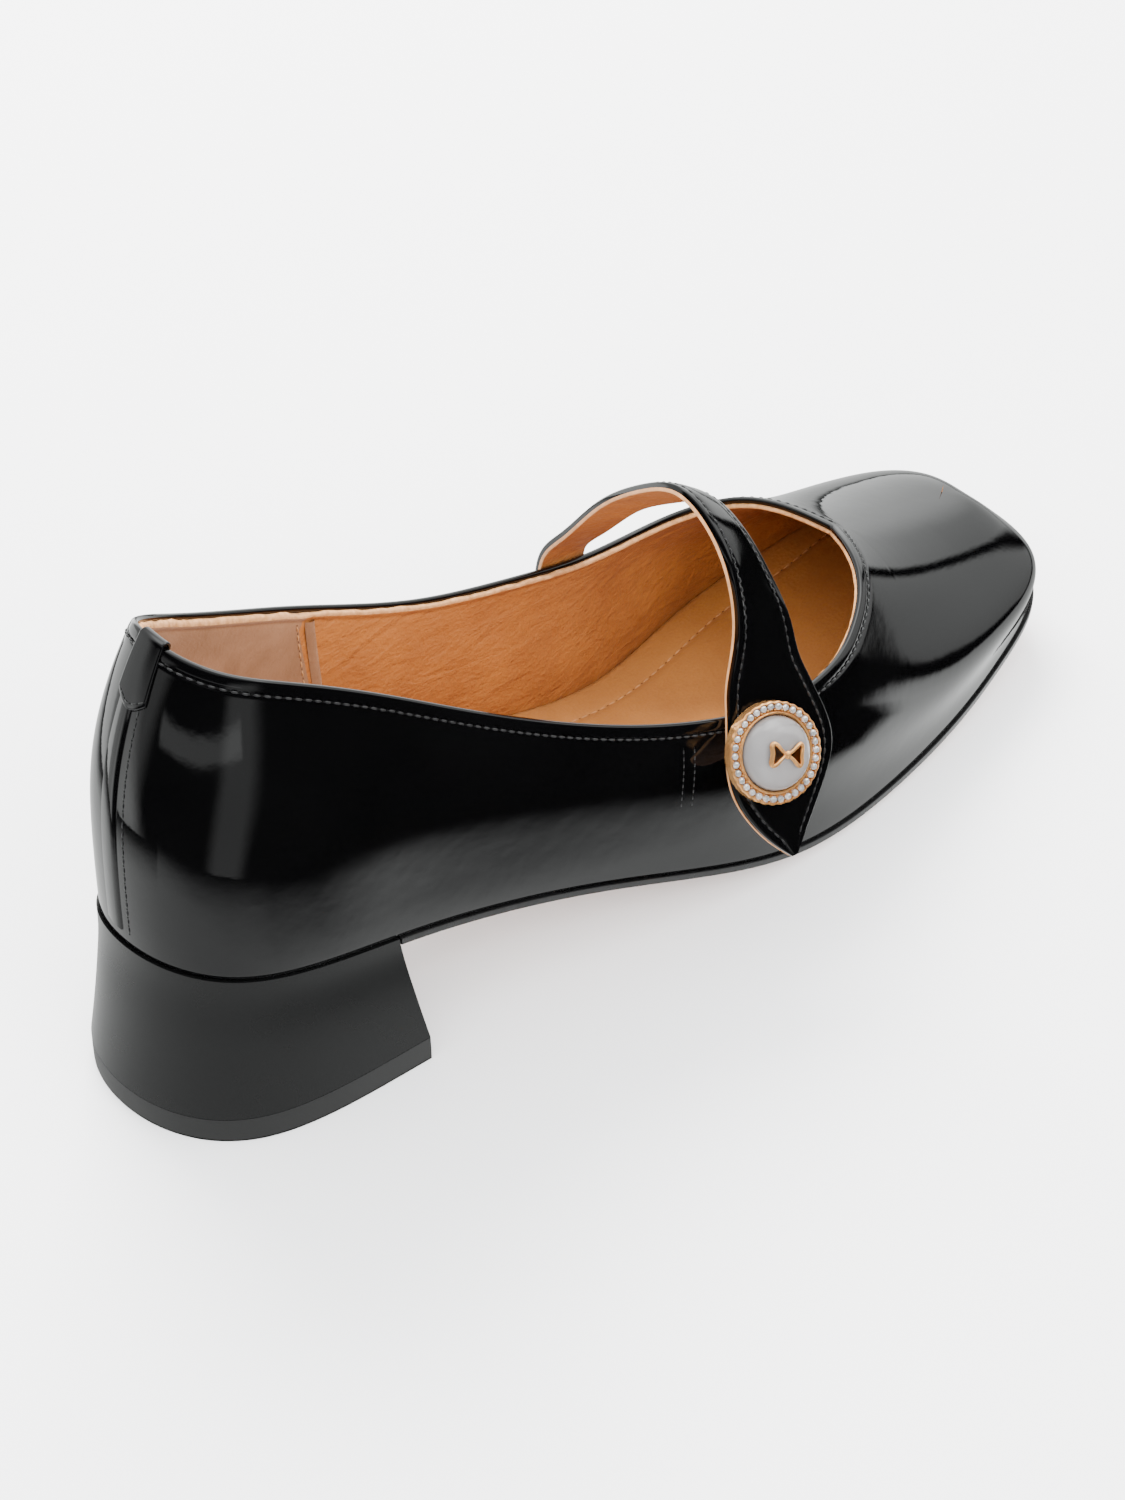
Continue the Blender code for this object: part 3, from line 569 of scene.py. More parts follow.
PATENT = black_patent()
LINING = leather("tan_lining", (0.245, 0.078, 0.0150), (0.345, 0.122, 0.0240), 0.58, 0.7, 0.75, 0.05)
SOCK = leather("tan_sock", (0.310, 0.118, 0.0250), (0.385, 0.155, 0.0350), 0.58, 0.55, 0.18, 0.05)
SUEDE = suede()
RAW = raw_edge()
TAN_EDGE = plain("tan_cut_edge", (0.40, 0.20, 0.085), 0.8, 2500.0, 0.00008)
LACQUER = plain(
    "black_heel_lacquer", (0.0026, 0.0027, 0.0027), 0.27, 240.0, 0.0000008, 0.03, Specular_IOR_Level=0.34
)
RUBBER = plain("black_lift_rubber", (0.0042, 0.0042, 0.0042), 0.45, 300.0, 0.00001, 0.04)
SOLE_BLACK = plain("black_sole_edge", (0.0040, 0.0040, 0.0040), 0.30, 900.0, 0.00006)
SOLE_TAN = plain("tan_sole_underside", (0.26, 0.105, 0.035), 0.62, 700.0, 0.00012)
THREAD = plain("black_thread", (0.0120, 0.0120, 0.0122), 0.34, 4000.0, 0.00004)
PALE_THREAD = plain("tan_thread", (0.46, 0.22, 0.085), 0.75, 4000.0, 0.00006)
HOLE = plain("needle_hole", (0.0008, 0.0008, 0.0008), 0.7, 2000.0, 0.00002)
# Needle holes in tan leather, painted far darker than the leather: painted shade in the holes.
TAN_HOLE_SHADE = plain("tan_needle_hole_painted_shade", (0.07, 0.022, 0.006), 0.8, 2000.0, 0.00002)
GOLD = plain("rose_gold", (0.92, 0.44, 0.16), 0.16, 900.0, 0.00003, metallic=0.84)
# Gold painted far darker for the sunk middles of the bow loops: painted shade in the loop openings.
BOW_RECESS_SHADE = plain("bow_recess_painted_shade", (0.20, 0.11, 0.06), 0.35, 900.0, 0.00003, metallic=1.0)
PEARL = pearl_lacquer()
STONE = clear_stone()


# Mesh helpers


def piece(name, vertices, faces, looks, slot, replaces=(), which=None, flat=False, angle=35.0):
    """One mesh of the shoe, moved into the row frame; which gives each face's material."""
    mesh = bpy.data.meshes.new(name)
    mesh.from_pydata((np.asarray(vertices, float) + SHIFT).tolist(), [], [tuple(map(int, f)) for f in faces])
    for look in looks if isinstance(looks, (list, tuple)) else [looks]:
        mesh.materials.append(look)
    if which is not None:
        mesh.polygons.foreach_set("material_index", np.asarray(which, np.int32))
    work = bmesh.new()
    work.from_mesh(mesh)
    bmesh.ops.remove_doubles(work, verts=work.verts, dist=1e-6)
    bmesh.ops.recalc_face_normals(work, faces=work.faces)
    work.to_mesh(mesh)
    work.free()
    if not flat:
        mesh.shade_smooth()
        mesh.set_sharp_from_angle(angle=math.radians(angle))
    made = bpy.data.objects.new(name, mesh)
    bpy.context.scene.collection.objects.link(made)
    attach(made, "root")
    if replaces:
        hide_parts(*replaces)
    return made


def grid_faces(rows, columns, wrap=False, start=0):
    """Quads of a grid stored row by row; wrap closes each row on itself."""
    i = np.arange(rows - 1)[:, None]
    j = np.arange(columns if wrap else columns - 1)[None, :]
    k = (j + 1) % columns
    low = start + i * columns
    high = low + columns
    faces = np.stack(np.broadcast_arrays(low + j, low + k, high + k, high + j), -1)
    return faces.reshape(-1, 4)


def even_stations(first, final, count, crowd=1.0):
    """Stations at even steps of the feather line, closing up towards the last when crowded."""
    knots = last.knots[-1]
    numbers = np.arange(len(knots))
    start, end = np.interp([first, final], numbers, knots)
    share = 1 - (1 - np.linspace(0, 1, count)) ** crowd
    return np.interp(start + (end - start) * share, knots, numbers)


# Sewing: thread, needle hole and slot; the tan needle holes are painted dark as shade
BLACK_SEWING = (THREAD, HOLE, "patent_leather")
TAN_SEWING = (PALE_THREAD, TAN_HOLE_SHADE, "insole_leather")
# Stitches: pitch, length, thread radius and hole radius in millimetres, then the sewing
TOPLINE_STITCH = (2.10, 1.50, 0.24, 0.30, BLACK_SEWING)
STRAP_STITCH = (2.1, 1.5, 0.22, 0.28, BLACK_SEWING)
TAB_STITCH = (1.9, 1.4, 0.16, 0.24, BLACK_SEWING)
SEAM_STITCH = (2.2, 1.6, 0.15, 0.22, BLACK_SEWING)
QUARTER_STITCH = (1.9, 1.3, 0.15, 0.22, BLACK_SEWING)
SOCK_STITCH = (3.3, 2.3, 0.20, 0.3, TAN_SEWING)
COUNTER_STITCH = (2.4, 1.5, 0.16, 0.22, TAN_SEWING)


def lengths_along(points):
    """Distance of each point from the first, along the chain."""
    return np.concatenate([[0.0], np.cumsum(np.linalg.norm(np.diff(points, axis=0), axis=1))])


def threads(name, path, outward, stitch, skip=0.0):
    """Stitches along a path: a bowed thread for each, and the needle holes between them as dark discs, whose
    darkness on tan leather is painted shade.
    """
    pitch, length, radius, hole_radius = (size * MM for size in stitch[:4])
    thread, hole, slot = stitch[4]
    at = lengths_along(path)
    rail = Curve(at, np.c_[path, outward])
    count = max(1, int((at[-1] - 2 * skip) / pitch))
    centres = skip + pitch * (np.arange(count) + 0.5)
    along = np.linspace(-0.5, 0.5, 7)
    bow = np.cos(np.pi * along)
    sides = 6
    turn = 2 * np.pi * np.arange(sides) / sides
    vertices = []
    faces = []
    which = []
    for centre in centres:
        got = rail(centre + along * length)
        line, up = got[:, :3], unit(got[:, 3:])
        ahead = unit(np.gradient(line, axis=0))
        across = unit(np.cross(ahead, up))
        girth = radius * np.sqrt(np.clip(1 - (along * 1.96) ** 4, 0.05, 1))
        core = line + up * ((bow * 0.9 - 0.35) * radius)[:, None]
        ring = core[:, None] + girth[:, None, None] * (
            across[:, None] * np.cos(turn)[:, None] + up[:, None] * np.sin(turn)[:, None] * 0.8
        )
        start = len(vertices)
        vertices.extend(ring.reshape(-1, 3))
        quads = grid_faces(len(along), sides, True, start)
        faces.extend(quads)
        which.extend([0] * len(quads))
        for end in (0, len(along) - 1):
            faces.append([start + end * sides + k for k in range(sides)])
            which.append(0)
    # Needle holes as small discs in the sewing's hole colour; on tan leather that colour is painted shade.
    for centre in np.concatenate([centres - pitch / 2, centres[-1:] + pitch / 2]):
        got = rail(centre)
        line, up = got[:3], unit(got[3:])
        ahead = unit(rail(centre + 0.1 * MM)[:3] - line)
        across = unit(np.cross(ahead, up))
        start = len(vertices)
        for size, depth in ((1.0, 0.03 * MM), (0.45, 0.06 * MM)):
            for angle in turn:
                spot = across * math.cos(angle) * 0.75 + ahead * math.sin(angle)
                vertices.append(line + hole_radius * size * spot + up * depth)
        quads = grid_faces(2, sides, True, start)
        faces.extend(quads)
        which.extend([1] * len(quads))
        faces.append([start + sides + k for k in range(sides)])
        which.append(1)
    piece(name, vertices, faces, [thread, hole], slot, which=which)


# Topline and the upper's grid

# Radius of the rolled edge, depth of the patent's wall there, and the band worked square to the edge
RIM = 0.75 * MM
WALL_DEPTH = 2 * RIM
BAND = 5.0 * MM
# Columns from the back to the throat and from there to the toe, and rows from the feather line up
QUARTER = 150
VAMP = 84
ROWS = 60
throat_station = last.station(THROAT)
behind = even_stations(0.0, throat_station, QUARTER + 1, 1.3)


class Topline:
    """Both sides of the opening's edge, from the back seam to the throat, on the outer face."""

    def __init__(self):
        self.s = behind
        self.out = {}
        self.at = {}
        for side in (-1, 1):
            x = np.clip(last.edge(side, behind)[0][:, 0], 0, THROAT)
            out = np.clip(last.collar[side](x), 0.0, 1.0)
            out[-1] = 0.0
            self.out[side] = out
            self.at[side] = last.point(side, behind, out)
        self.upward = {}
        self.steps = {}
        for side in (-1, 1):
            points = self.at[side]
            tangent = np.gradient(points, axis=0)
            tangent[0] = points[1] - self.at[-side][1]
            tangent[-1] = points[-1] - points[-2]
            normal = last.normal(side, behind, self.out[side])
            self.upward[side] = unit(-side * np.cross(normal, unit(tangent)))
            step = 1e-4
            by_s = (last.point(side, behind + step, self.out[side]) - points) / step
            low = last.point(side, behind, self.out[side] - step)
            high = last.point(side, behind, self.out[side] + step)
            self.steps[side] = (by_s, (high - low) / (2 * step))
        corner = self.upward[-1][-1] + self.upward[1][-1]
        corner = unit(corner) / np.dot(unit(corner), self.upward[-1][-1])
        back = unit(self.upward[-1][0] + self.upward[1][0])
        for side in (-1, 1):
            self.upward[side][-1] = corner
            self.upward[side][0] = back

    def below(self, side, distance):
        """Station and out of the points that far from the edge, square to it."""
        move = -distance * self.upward[side]
        by_s, by_out = self.steps[side]
        s_s = (by_s * by_s).sum(-1)
        s_out = (by_s * by_out).sum(-1)
        out_out = (by_out * by_out).sum(-1)
        s_move = (by_s * move).sum(-1)
        out_move = (by_out * move).sum(-1)
        scale = s_s * out_out - s_out * s_out
        more_s = (s_move * out_out - out_move * s_out) / scale
        more_out = (s_s * out_move - s_out * s_move) / scale
        more_out[-1] = 0.0
        more_s[-1] = s_move[-1] / s_s[-1]
        more_s[0] = 0.0
        return self.s + more_s, np.clip(self.out[side] + more_out, 0, 1)


topline = Topline()


def around(lateral, medial):
    """Closed ring from both sides: lateral back to throat, then medial throat to back."""
    return np.concatenate([lateral, medial[-2:0:-1]])


def band_ring(distance, lift=0.0):
    """Closed ring of points at a distance below the edge, with their normals."""
    rings = []
    for side in (-1, 1):
        s, out = topline.below(side, distance)
        rings.append((last.skin(side, s, out, np.full(len(s), lift)), last.normal(side, s, out)))
    return around(rings[0][0], rings[1][0]), around(rings[0][1], rings[1][1])


def column_path(side, s_low, s_high, out_high, count):
    """Even steps up a section from the feather line to the given point."""
    share = np.linspace(0, 1, 160)
    lean = float(lean_of(out_high))
    s = s_low + (s_high - s_low) * share**2
    out = out_of(lean * share)
    out[-1] = out_high
    at = lengths_along(last.point(side, s, out))
    wanted = np.interp(np.linspace(0, at[-1], count + 1), at, share)
    found = out_of(lean * wanted)
    found[-1] = out_high
    return s_low + (s_high - s_low) * wanted**2, found


def upper_columns():
    """Stations and outs of every column of both sides; the first ones end on the band."""
    columns = {}
    low_ahead = even_stations(throat_station, last.last_station, VAMP + 1)
    for side in (-1, 1):
        s_band, out_band = topline.below(side, BAND)
        found = []
        for i in range(QUARTER + 1):
            found.append(column_path(side, behind[i], s_band[i], out_band[i], ROWS))
        high_ahead = s_band[-1] + (low_ahead - low_ahead[0]) * (
            (last.last_station - s_band[-1]) / (last.last_station - low_ahead[0])
        )
        for k in range(1, VAMP + 1):
            found.append(column_path(side, low_ahead[k], high_ahead[k], 0.0, ROWS))
        columns[side] = np.array(found)
    return columns


COLUMNS = upper_columns()


def upper_grid(lift):
    """Closed grid of the whole upper: columns run back, lateral, toe, medial."""
    sides = []
    for side in (-1, 1):
        s, out = COLUMNS[side][:, 0], COLUMNS[side][:, 1]
        sides.append(last.skin(side, s, out, np.broadcast_to(np.asarray(lift, float), s.shape)))
    sides[1][-1] = sides[0][-1]
    sides[1][0] = sides[0][0]
    return np.concatenate([sides[0], sides[1][-2:0:-1]])


def lasted_rows():
    """Rows that turn the upper's lower edge in under it."""
    rings = []
    for inset, drop in ((2.2 * MM, 0.27 * MM), (0.55 * MM, 0.26 * MM), (0.12 * MM, 0.12 * MM)):
        chains = []
        for side in (-1, 1):
            s = COLUMNS[side][:, 0, 0]
            edge, normal = last.edge(side, s)
            z = last.feather(np.clip(edge[:, 0], 0, UPPER_LENGTH)) - drop
            chains.append(np.c_[edge - normal * inset, z])
        rings.append(np.concatenate([chains[0], chains[1][-2:0:-1]]))
    return rings


def patent_upper():
    grid = upper_grid(0.0).transpose(1, 0, 2)
    rows = lasted_rows() + list(grid)
    count = grid.shape[1]
    vertices = np.concatenate(rows)
    faces = grid_faces(len(rows), count, True)
    rings = []
    for distance, lift in (
        (BAND, 0.0),
        (4.3 * MM, 0.0),
        (3.7 * MM, 0.01 * MM),
        (3.2 * MM, -0.05 * MM),
        (2.8 * MM, -0.26 * MM),
        (2.4 * MM, -0.05 * MM),
        (2.1 * MM, 0.06 * MM),
        (1.7 * MM, 0.09 * MM),
        (1.2 * MM, 0.06 * MM),
    ):
        rings.append(band_ring(distance, lift)[0])
    centre, normal = band_ring(RIM)
    upward = around(topline.upward[-1], topline.upward[1])
    for turn in np.radians(np.linspace(0, 180, 13)):
        rings.append(centre - normal * RIM + RIM * (normal * math.cos(turn) + upward * math.sin(turn)))
    for drop in (0.8, 1.8, 2.8):
        rings.append(centre - normal * WALL_DEPTH - upward * drop * MM)
    start = len(vertices)
    vertices = np.concatenate([vertices, *rings])
    faces = np.concatenate([faces, grid_faces(len(rings), len(centre), True, start)])
    piece("upper_patent", vertices, faces, PATENT, "patent_leather", ["upper"], angle=60.0)


LINING_DEPTH = 2.05 * MM
# The suede counter lining ends at this x and is sunk by this depth
COUNTER_END = 0.068
COUNTER_DEPTH = 0.35 * MM
# The first rows of the lining's profile go round its raw cut edge
RAW_ROWS = 5


def upper_lining():
    grid = upper_grid(-LINING_DEPTH).transpose(1, 0, 2)
    count = grid.shape[1]
    centre, normal = band_ring(RIM)
    ring_count = len(centre)
    counter = {}
    for side in (-1, 1):
        x = last.edge(side, behind)[0][:, 0]
        counter[side] = x < COUNTER_END
    inner = around(counter[-1], counter[1])
    full = np.zeros(count, bool)
    full[: QUARTER + 1] = counter[-1]
    full[-(QUARTER - 1) :] = counter[1][-2:0:-1]
    ragged = rng.normal(0, 1, ring_count)
    ragged = 0.5 * ragged + 0.5 * np.roll(ragged, 1)
    rings = []
    for distance, depth, jitter in (
        (2.1, 1.30, 0.0),
        (0.90, 1.45, 0.14),
        (0.72, 1.65, 0.18),
        (0.76, 2.20, 0.16),
        (1.00, 2.50, 0.12),
        (1.50, 2.52, 0.04),
        (2.20, 2.36, 0.0),
        (2.75, 1.88, 0.0),
        (3.20, 2.02, 0.0),
        (4.20, 2.06, 0.0),
        (5.00, 2.05, 0.0),
    ):
        points, normals = band_ring(distance * MM)
        points = points + around(topline.upward[-1], topline.upward[1]) * (ragged * jitter * MM)[:, None]
        deeper = np.where(inner, COUNTER_DEPTH if distance > 1.0 else 0.0, 0.0)
        rings.append(points - normals * (depth * MM + deeper)[:, None])
    normals = np.concatenate(
        [
            last.normal(-1, COLUMNS[-1][:, 0], COLUMNS[-1][:, 1]),
            last.normal(1, COLUMNS[1][:, 0], COLUMNS[1][:, 1])[-2:0:-1],
        ]
    ).transpose(1, 0, 2)
    grid = grid - normals * (full * COUNTER_DEPTH)[None, :, None]
    vertices = np.concatenate([grid.reshape(-1, 3), *rings])
    low_faces = grid_faces(len(grid), count, True)
    column_of = low_faces[:, 0] % count
    low_which = np.where(full[column_of] & full[(column_of + 1) % count], 1, 0)
    start = grid.shape[0] * count
    high_faces = grid_faces(len(rings), ring_count, True, start)
    ring_of = (high_faces[:, 0] - start) // ring_count
    column_of = (high_faces[:, 0] - start) % ring_count
    high_which = np.where(inner[column_of] & inner[(column_of + 1) % ring_count], 1, 0)
    high_which = np.where(ring_of < RAW_ROWS, 2, high_which)
    faces = np.concatenate([low_faces, high_faces])
    which = np.concatenate([low_which, high_which])
    looks = [LINING, SUEDE, RAW]
    piece("upper_lining", vertices, faces, looks, "insole_leather", which=which, angle=70.0)


def topline_threads():
    points, normals = (np.concatenate([ring, ring[:1]]) for ring in band_ring(2.8 * MM, -0.04 * MM))
    for name, part in (("lateral", slice(0, QUARTER + 1)), ("medial", slice(QUARTER, None))):
        threads("topline_stitches_" + name, points[part], normals[part], TOPLINE_STITCH, 1.0 * MM)


patent_upper()
upper_lining()
topline_threads()


# Insole


def closed_ring(insets, level):
    """Both sides of a ring moved in from the feather line, less so at the toe; level gives its height."""
    chains = []
    for side in (-1, 1):
        s = even_stations(0.0, last.last_station, 200)
        edge, normal = last.edge(side, s)
        ease = 1 - 0.45 * smooth(edge[:, 0], 0.205, 0.240)
        plan = edge - normal * (insets * ease)[:, None]
        chains.append(np.c_[plan, level(np.clip(edge[:, 0], 0, UPPER_LENGTH))])
    return chains


def sock():
    """Top of the insole with its padding, a sewn channel along the edge and a turned-down rim."""
    profile = (
        (2.2, -0.6),
        (2.15, 1.2),
        (2.5, 1.75),
        (3.5, 1.95),
        (5.5, 2.0),
        (8.0, 2.05),
        (9.8, 2.0),
        (10.4, 1.86),
        (10.8, 1.68),
        (11.2, 1.86),
        (11.9, 2.12),
        (13.2, 2.3),
    )
    rings = [closed_ring(inset * MM, lambda x: last.feather(x) + rise * MM) for inset, rise in profile]
    count = len(rings[0][0])
    lines = [np.concatenate([a, b[-2:0:-1]]) for a, b in rings]
    vertices = np.concatenate(lines)
    faces = list(grid_faces(len(lines), len(lines[0]), True))
    start = len(vertices)
    steps = 8
    left, right = rings[-1]
    across = []
    for k in range(1, steps):
        share = k / steps
        crown = 0.35 * MM * math.sin(math.pi * share)
        across.append(left * (1 - share) + right * share + np.array([0, 0, crown]))
    strips = np.stack([left, *across, right], 0)
    vertices = np.concatenate([vertices, strips.reshape(-1, 3)])
    faces.extend(grid_faces(steps + 1, count, False, start))
    piece("insole_sock", vertices, faces, SOCK, "insole_leather", ["insole"], angle=60.0)
    chains = closed_ring(10.8 * MM, lambda x: last.feather(x) + 1.70 * MM)
    for side, chain in zip(("lateral", "medial"), chains):
        sewn = chain[6:-6]
        threads("sock_stitches_" + side, sewn, np.tile([0.0, 0.0, 1.0], (len(sewn), 1)), SOCK_STITCH)


sock()


# Sole and heel


def chain_of(side, stations, offset, level):
    edge, normal = last.edge(side, stations)
    plan = edge + normal * offset
    return np.c_[plan, level(np.clip(edge[:, 0], 0.0, UPPER_LENGTH))]


def strung(rings_of_chains, share_start, share_end):
    """Closed body through pairs of chains, with both end faces strung between the chains."""
    lines = []
    for a, b in rings_of_chains:
        b = b[::-1]
        b = b[1:] if share_end else b
        b = b[:-1] if share_start else b
        lines.append(np.concatenate([a, b]))
    vertices = np.concatenate(lines)
    faces = list(map(tuple, grid_faces(len(lines), len(lines[0]), True)))
    chain = len(rings_of_chains[0][0])
    other = [2 * chain - 1 - i - int(share_end) for i in range(chain)]
    if share_end:
        other[-1] = chain - 1
    if share_start:
        other[0] = 0
    for base in (0, (len(lines) - 1) * len(lines[0])):
        for i in range(chain - 1):
            corners = list(dict.fromkeys([i, i + 1, other[i + 1], other[i]]))
            faces.append(tuple(base + corner for corner in corners))
    return vertices, faces


def soften(made, width, angle=30.0):
    """Rounds the sharp edges of a firm piece."""
    bevel = made.modifiers.new("soft edges", "BEVEL")
    bevel.width = width
    bevel.segments = 3
    bevel.limit_method = "ANGLE"
    bevel.angle_limit = math.radians(angle)
    bevel.harden_normals = True


# The first rows of the outsole's profile are its black edge, the others its underside
EDGE_ROWS = 5


def outsole():
    def top(x):
        return last.feather(x) - CLEARANCE

    rows = []
    for offset, drop in (
        (SOLE_LIP - 0.14 * MM, 0.0),
        (SOLE_LIP, 0.14 * MM),
        (SOLE_LIP + 0.02 * MM, SOLE_EDGE * 0.5),
        (SOLE_LIP, SOLE_EDGE - 0.25 * MM),
        (SOLE_LIP - 0.22 * MM, SOLE_EDGE - 0.03 * MM),
        (SOLE_LIP - 0.60 * MM, SOLE_EDGE + 0.05 * MM),
    ):
        rows.append((offset, lambda x, drop=drop: top(x) - drop))
    for share in (0.25, 0.5, 0.75, 1.0):
        offset = SOLE_LIP - 0.60 * MM - (SOLE_BEVEL + SOLE_LIP - 0.60 * MM) * share
        drop = SOLE_EDGE + (SOLE_THICKNESS - SOLE_EDGE) * math.sin(share * math.pi / 2)
        rows.append((offset, lambda x, drop=drop: np.maximum(top(x) - drop, 0.0)))
    rings = []
    for offset, level in rows:
        chains = []
        for side in (-1, 1):
            start = last.station(BREAST + 2 * CLEARANCE, side)
            stations = even_stations(start, last.last_station, 220)
            chains.append(chain_of(side, stations, offset, level))
        rings.append(chains)
    vertices, faces = strung(rings, False, True)
    ring_size = 2 * len(rings[0][0]) - 1
    which = [int(min(face) // ring_size >= EDGE_ROWS) for face in faces]
    looks = [SOLE_BLACK, SOLE_TAN]
    piece("outsole_dressed", vertices, faces, looks, "sole_rubber", ["outsole"], which)


# Open line between the heel block and its lift
LIFT_LINE = 0.12 * MM


def heel_ring(level, flare, front, grow=0.0):
    """Both sides of one ring of the heel, drawn so that its front lies at the given x."""
    chains = []
    for side in (-1, 1):
        stations = even_stations(0.0, last.station(BREAST, side), 90)
        chain = chain_of(side, stations, SOLE_LIP + HEEL_FLARE * flare + grow, level)
        chain[:, 0] += (front - chain[-1, 0]) * np.clip(chain[:, 0] / chain[-1, 0], 0, 1) ** 2
        chains.append(chain)
    return chains


def heel():
    profile = Curve(column(HEEL_PROFILE, 0), column(HEEL_PROFILE, 1))
    bottom = LIFT_HEIGHT + LIFT_LINE
    rings = []
    for down in np.linspace(0, 1, 26):
        front = BREAST + BREAST_SLANT * down

        def level(x):
            return (last.feather(x) - CLEARANCE) * (1 - down) + bottom * down

        rings.append(heel_ring(level, float(profile(down)), front))
    block = piece("heel_block_dressed", *strung(rings, True, False), LACQUER, "heel_lacquer", ["heel_block"])
    soften(block, 0.35 * MM)
    front = BREAST + BREAST_SLANT
    rings = []
    for height, grow in ((LIFT_HEIGHT, 0.0), (LIFT_HEIGHT * 0.5, 0.10 * MM), (0.0, 0.12 * MM)):
        rings.append(heel_ring(lambda x: x * 0 + height, 1.0, front, grow))
    lift = piece("heel_lift_dressed", *strung(rings, True, False), RUBBER, "sole_rubber", ["heel_lift"])
    soften(lift, 0.30 * MM)


outsole()
heel()


# Back tab and back seam

# Half width at the topline, length below it and height over the patent
TAB_HALF = 0.0030
TAB_DROP = 0.0135
TAB_LIFT = 0.55 * MM


def back_tab():
    """Folded tab over the back of the topline, down to a shallow point, with its stitches."""
    share = np.linspace(-1, 1, 41)
    y = last.point(1, behind, topline.out[1])[:, 1]
    rising = int(np.argmax(y))
    reach = float(np.interp(TAB_HALF, y[:rising], behind[:rising]))
    rows = []
    for part in share:
        side = -1 if part < 0 else 1
        s = np.array([abs(part) * reach])
        x = np.clip(last.edge(side, s)[0][:, 0], 0, THROAT)
        out_top = float(last.collar[side](x)[0])
        upward = unit(np.array([0.45, 0.0, 1.0]))
        edge = 0.3 * MM * max(0.0, abs(part) - 0.93) / 0.07
        path = []
        base = last.skin(side, s, np.array([out_top]))[0]
        normal = last.normal(side, s, np.array([out_top]))[0]
        upward = unit(upward - normal * normal.dot(upward))
        drop = TAB_DROP * (1 - 0.20 * abs(part) ** 1.6)
        grow = TAB_LIFT - edge
        leans = np.linspace(0, drop, 26)[::-1]
        height = last.ridge(0.02)
        up_top = (1 - out_top**SIDE_POWER) ** (1 / TOP_POWER)
        for k, fall in enumerate(leans):
            up = up_top - fall / height
            out = (1 - up**TOP_POWER) ** (1 / SIDE_POWER)
            fade = grow if k > 1 else grow * (0.15, 0.75)[k]
            path.append(last.skin(side, s, np.array([out]), np.array([fade]))[0])
        turn_centre = base - normal * RIM - upward * 0.2 * MM
        for angle in np.radians(np.linspace(15, 180, 12)):
            radius = RIM + grow
            path.append(turn_centre + radius * (normal * math.cos(angle) + upward * math.sin(angle)))
        folded = path[-1]
        for fall in (1.0, 2.0, 3.0):
            path.append(folded - upward * fall * MM)
        rows.append(path)
    rows = np.array(rows)
    faces = grid_faces(*rows.shape[:2])
    made = piece("back_tab", rows.reshape(-1, 3), faces, PATENT, "patent_leather", ["heel_tab"], angle=60.0)
    shell = made.modifiers.new("thickness", "SOLIDIFY")
    shell.thickness = 0.8 * MM
    shell.offset = -1.0
    line = rows[2:-2, 3]
    threads("tab_stitches", line, np.tile([-1.0, 0.0, 0.15], (len(line), 1)), TAB_STITCH)


def back_seam():
    """Lapped seam down the back, a raised edge with a row of stitches beside it."""
    lean = np.linspace(0.05, 0.86, 60) * float(lean_of(topline.out[-1][0])) * 0.98
    rows = []
    for lift, offset in ((0.0, -0.12), (0.30, -0.10), (0.38, 0.0), (0.36, 0.12), (0.0, 0.30)):
        s = np.full(len(lean), abs(offset))
        side = -1 if offset <= 0 else 1
        rows.append(last.skin(side, s, out_of(lean), np.full(len(lean), lift * MM)))
    rows = np.array(rows)
    faces = grid_faces(*rows.shape[:2])
    piece("back_seam", rows.reshape(-1, 3), faces, PATENT, "patent_leather", angle=80.0)
    sewn = np.full(len(lean), 0.26)
    line = last.skin(-1, sewn, out_of(lean), np.full(len(lean), 0.02 * MM))
    threads("seam_stitches", line, last.normal(-1, sewn, out_of(lean)), SEAM_STITCH)


def up_to_topline(side, x, shares):
    """Station of the feather line at x, and section angles at shares of the way to the topline."""
    start = float(np.interp(x, last.edge(side, behind)[0][:, 0], behind))
    top = float(np.interp(start, behind, topline.out[side]))
    return start, shares * float(lean_of(np.array([top]))[0])


def counter_edge():
    """Cut front edge of the suede counter lining, with its stitches, on both sides."""
    share = np.linspace(0.05, 0.93, 60)
    sway = 0.03 * np.sin(np.pi * share) - 0.02
    for side, name in ((-1, "lateral"), (1, "medial")):
        start, lean = up_to_topline(side, COUNTER_END, share)
        rows = []
        for offset, rise in ((-0.060, 0.30), (-0.030, 0.62), (0.0, 0.66), (0.020, 0.50), (0.026, -0.10)):
            depth = np.full(len(share), LINING_DEPTH + rise * MM)
            rows.append(last.skin(side, start + sway + offset, out_of(lean), -depth))
        rows = np.array(rows)
        faces = grid_faces(*rows.shape[:2])
        piece("counter_edge_" + name, rows.reshape(-1, 3), faces, SUEDE, "insole_leather", angle=60.0)
        s = start + sway - 0.13
        line = last.skin(side, s, out_of(lean), np.full(len(share), -LINING_DEPTH - 0.40 * MM))
        threads("counter_stitches_" + name, line, -last.normal(side, s, out_of(lean)), COUNTER_STITCH)


# Where the two rows on the lateral quarter leave the feather line
QUARTER_SEAM = (0.1120, 0.1146)


def quarter_seam():
    """Faint pair of stitch rows down the lateral side behind the strap."""
    for number, x in enumerate(QUARTER_SEAM, 1):
        start, lean = up_to_topline(-1, x, np.linspace(0.45, 0.90, 50))
        s = np.full(len(lean), start)
        line = last.skin(-1, s, out_of(lean), np.full(len(lean), -0.05 * MM))
        threads("quarter_stitches_%d" % number, line, last.normal(-1, s, out_of(lean)), QUARTER_STITCH)


back_tab()
back_seam()
counter_edge()
quarter_seam()


# Strap


STRAP_COLUMNS = 13
STRAP_STEPS = 300
BASE_STEPS = 6


